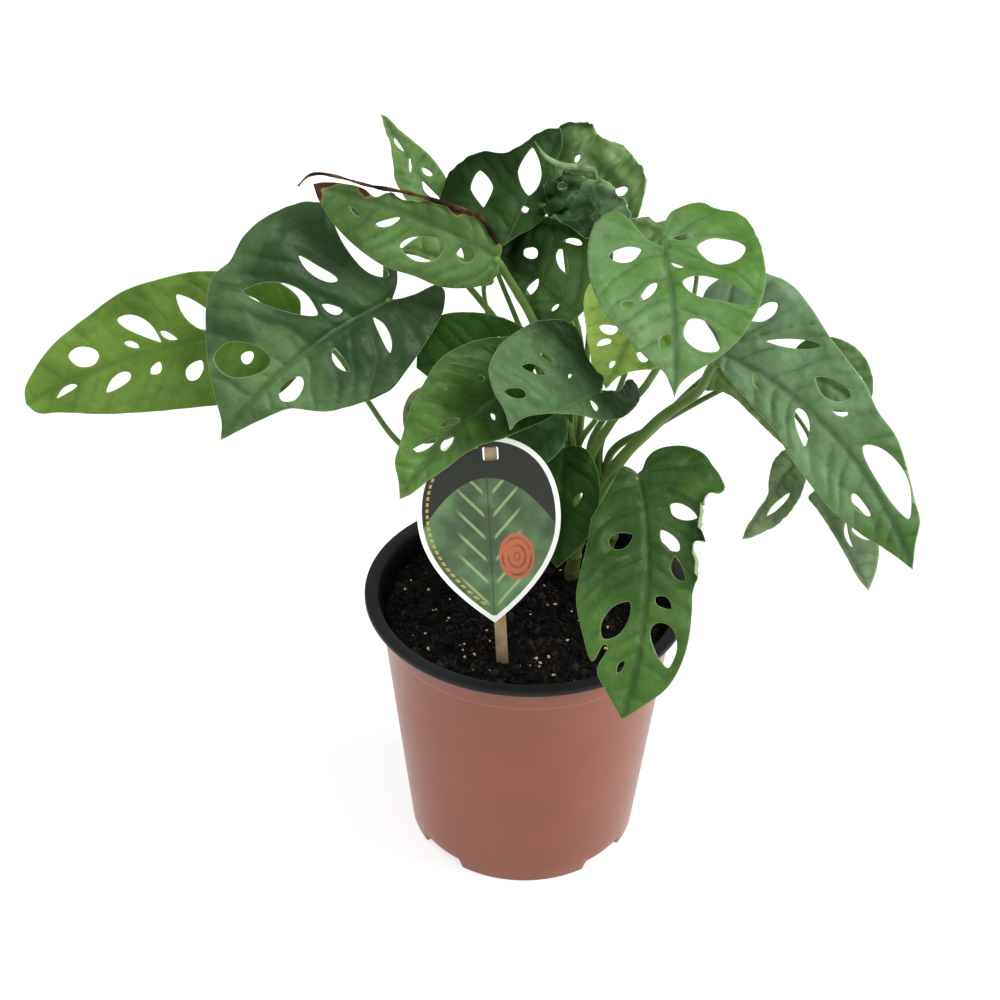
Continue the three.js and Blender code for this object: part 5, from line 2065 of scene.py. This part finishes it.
            "shade_small", (-27, 17, 254), (-61, 0, 242), -49, 14, 4, (10, 10), (1, 2, 0),
            [(8, 15), (30, 23), (59, 22), (85, 13)],
            [(-2, 17), (16, 38), (42, 48), (66, 50), (85, 38), (95, 21)],
            LeafFinish((116, 128, 90), (90, 108, 62)), "leaf_dark", 0,
            [(6, 45, 209), (-16, 32, 240)],
            ribs=17, seed=27,
        ),
    ]


# ---- Room


@dataclass
class Studio:
    """Pale floor, soft light and the camera at the photograph's angle."""

    target: Triple = (-15.0, 0.0, 207.2)
    distance: float = 910.0
    pitch: float = 34.23
    roll: float = 0.8
    lens: float = 64.8
    sensor: float = 36.0
    daylight: float = 0.56
    floor_size: float = 14.0
    floor_grey: float = 0.42
    floor_glow: float = 0.56
    lamps: Sequence[tuple[str, Triple, float, float]] = (
        ("side", (1.0, -0.1, 0.9), 36.0, 2.0),
        ("top", (-0.25, -0.35, 1.0), 60.0, 0.8),
    )

    def floor(self) -> Piece:
        """Lay the pale floor, which glows a little so that shadows stay soft.

        Returns:
            The floor.
        """
        bpy.ops.mesh.primitive_plane_add(size=self.floor_size, location=(0, 0, 0))
        floor = bpy.context.object
        floor.name = "pale_floor"
        paint = bpy.data.materials.new("pale_floor")
        paint.use_nodes = True
        values = {
            "Base Color": (*[self.floor_grey] * 3, 1),
            "Emission Color": (1, 1, 1, 1),
            "Emission Strength": self.floor_glow,
            "Roughness": 0.9,
            "Specular IOR Level": 0.1,
        }
        for key, value in values.items():
            paint.node_tree.nodes["Principled BSDF"].inputs[key].default_value = value
        floor.data.materials.append(paint)
        return floor

    def backdrop(self) -> None:
        """Set the white backdrop that the camera sees and the dimmer daylight that falls in."""
        world = bpy.data.worlds.new("pale_room")
        world.use_nodes = True
        nodes, links = world.node_tree.nodes, world.node_tree.links
        sky, seen = nodes["Background"], nodes.new("ShaderNodeBackground")
        for light, strength in ((sky, self.daylight), (seen, 1.0)):
            light.inputs[0].default_value = (1, 1, 1, 1)
            light.inputs[1].default_value = strength
        blend, ray = nodes.new("ShaderNodeMixShader"), nodes.new("ShaderNodeLightPath")
        sources = (ray.outputs["Is Camera Ray"], sky.outputs[0], seen.outputs[0])
        for source, socket in zip(sources, blend.inputs):
            links.new(source, socket)
        links.new(blend.outputs[0], nodes["World Output"].inputs[0])
        bpy.context.scene.world = world

    def build(self) -> None:
        """Set the floor, the lamps, the backdrop and the camera."""
        stands = [self.floor()]
        self.backdrop()
        for name, way, breadth, power in self.lamps:
            data = bpy.data.lights.new(name, "SUN")
            data.angle = math.radians(breadth)
            data.energy = power
            lamp = bpy.data.objects.new(name, data)
            lamp.location = Vector(way)
            lamp.rotation_euler = Vector(way).to_track_quat("Z", "Y").to_euler()
            bpy.context.scene.collection.objects.link(lamp)
            stands.append(lamp)
        self.camera()
        bpy.context.scene.view_settings.view_transform = "Standard"
        bpy.context.scene.view_settings.look = "Medium High Contrast"

    def camera(self) -> None:
        """Place the camera."""
        pitch, roll = math.radians(self.pitch), math.radians(self.roll)
        ahead = Vector((0, math.cos(pitch), -math.sin(pitch)))
        right, up = Vector((1, 0, 0)), Vector((0, math.sin(pitch), math.cos(pitch)))
        across = right * math.cos(roll) + up * math.sin(roll)
        above = -right * math.sin(roll) + up * math.cos(roll)
        spot = (Vector(self.target) - ahead * self.distance) * MM
        data = bpy.data.cameras.new("photo_camera")
        data.lens, data.sensor_width, data.sensor_fit = self.lens, self.sensor, "HORIZONTAL"
        data.clip_start, data.clip_end = 0.05, 20.0
        camera = bpy.data.objects.new("photo_camera", data)
        turn = Matrix((across, above, -ahead)).transposed().to_4x4()
        camera.matrix_world = Matrix.Translation(spot) @ turn
        bpy.context.scene.collection.objects.link(camera)
        bpy.context.scene.camera = camera


def report(piece: Piece) -> None:
    """Log a piece's name and size."""
    faces = sum(len(p.vertices) - 2 for p in piece.data.polygons)
    LOG.info("%s: %d triangles", piece.name, faces)


def main() -> None:
    """Build the potted plant, its finishes and the room."""
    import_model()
    report(Pot().build())
    soil = Soil()
    report(soil.build())
    sheet = soil.top_sheet()
    strewn = (
        Grains("soil_crumbs", 230000.0, 0.35, 1.5, 4, Stuff.CRUMB),
        Grains("soil_lumps", 9000.0, 1.4, 3.2, 8, Stuff.CRUMB, 2),
        Grains("soil_fibres", 2200.0, 1.2, 2.6, 21, Stuff.FIBRE, 1, Lump.FIBRE),
        Grains("perlite", 6500.0, 0.3, 1.4, 11, Stuff.PERLITE, 2),
    )
    for grains in strewn:
        report(grains.build(sheet))
    bpy.data.objects.remove(sheet)
    card = PlantCard()
    report(card.build_card())
    report(card.build_stick())
    leaves = plant_leaves()
    for leaf in leaves:
        report(leaf.build())
    shoot = ((33, 92, 331), (32, 95, 338), (30.6, 95.4, 344.6))
    vines = (
        Vine("vine_left", (8, 44), (-2, 2), 0),
        Vine("vine_back", (24, 60), (0, 4), 1, shoot),
        Vine("vine_right", (42, 40), (3, 1), 2),
        Vine("vine_front", (24, 24), (1, -1), 3),
    )
    for vine in vines:
        report(vine.build(leaves))
    report(YoungLeaf().build())
    report(DriedEdge().build())
    Studio().build()


if __name__ == "__main__":
    logging.basicConfig(level=logging.INFO, format="%(message)s")
    main()
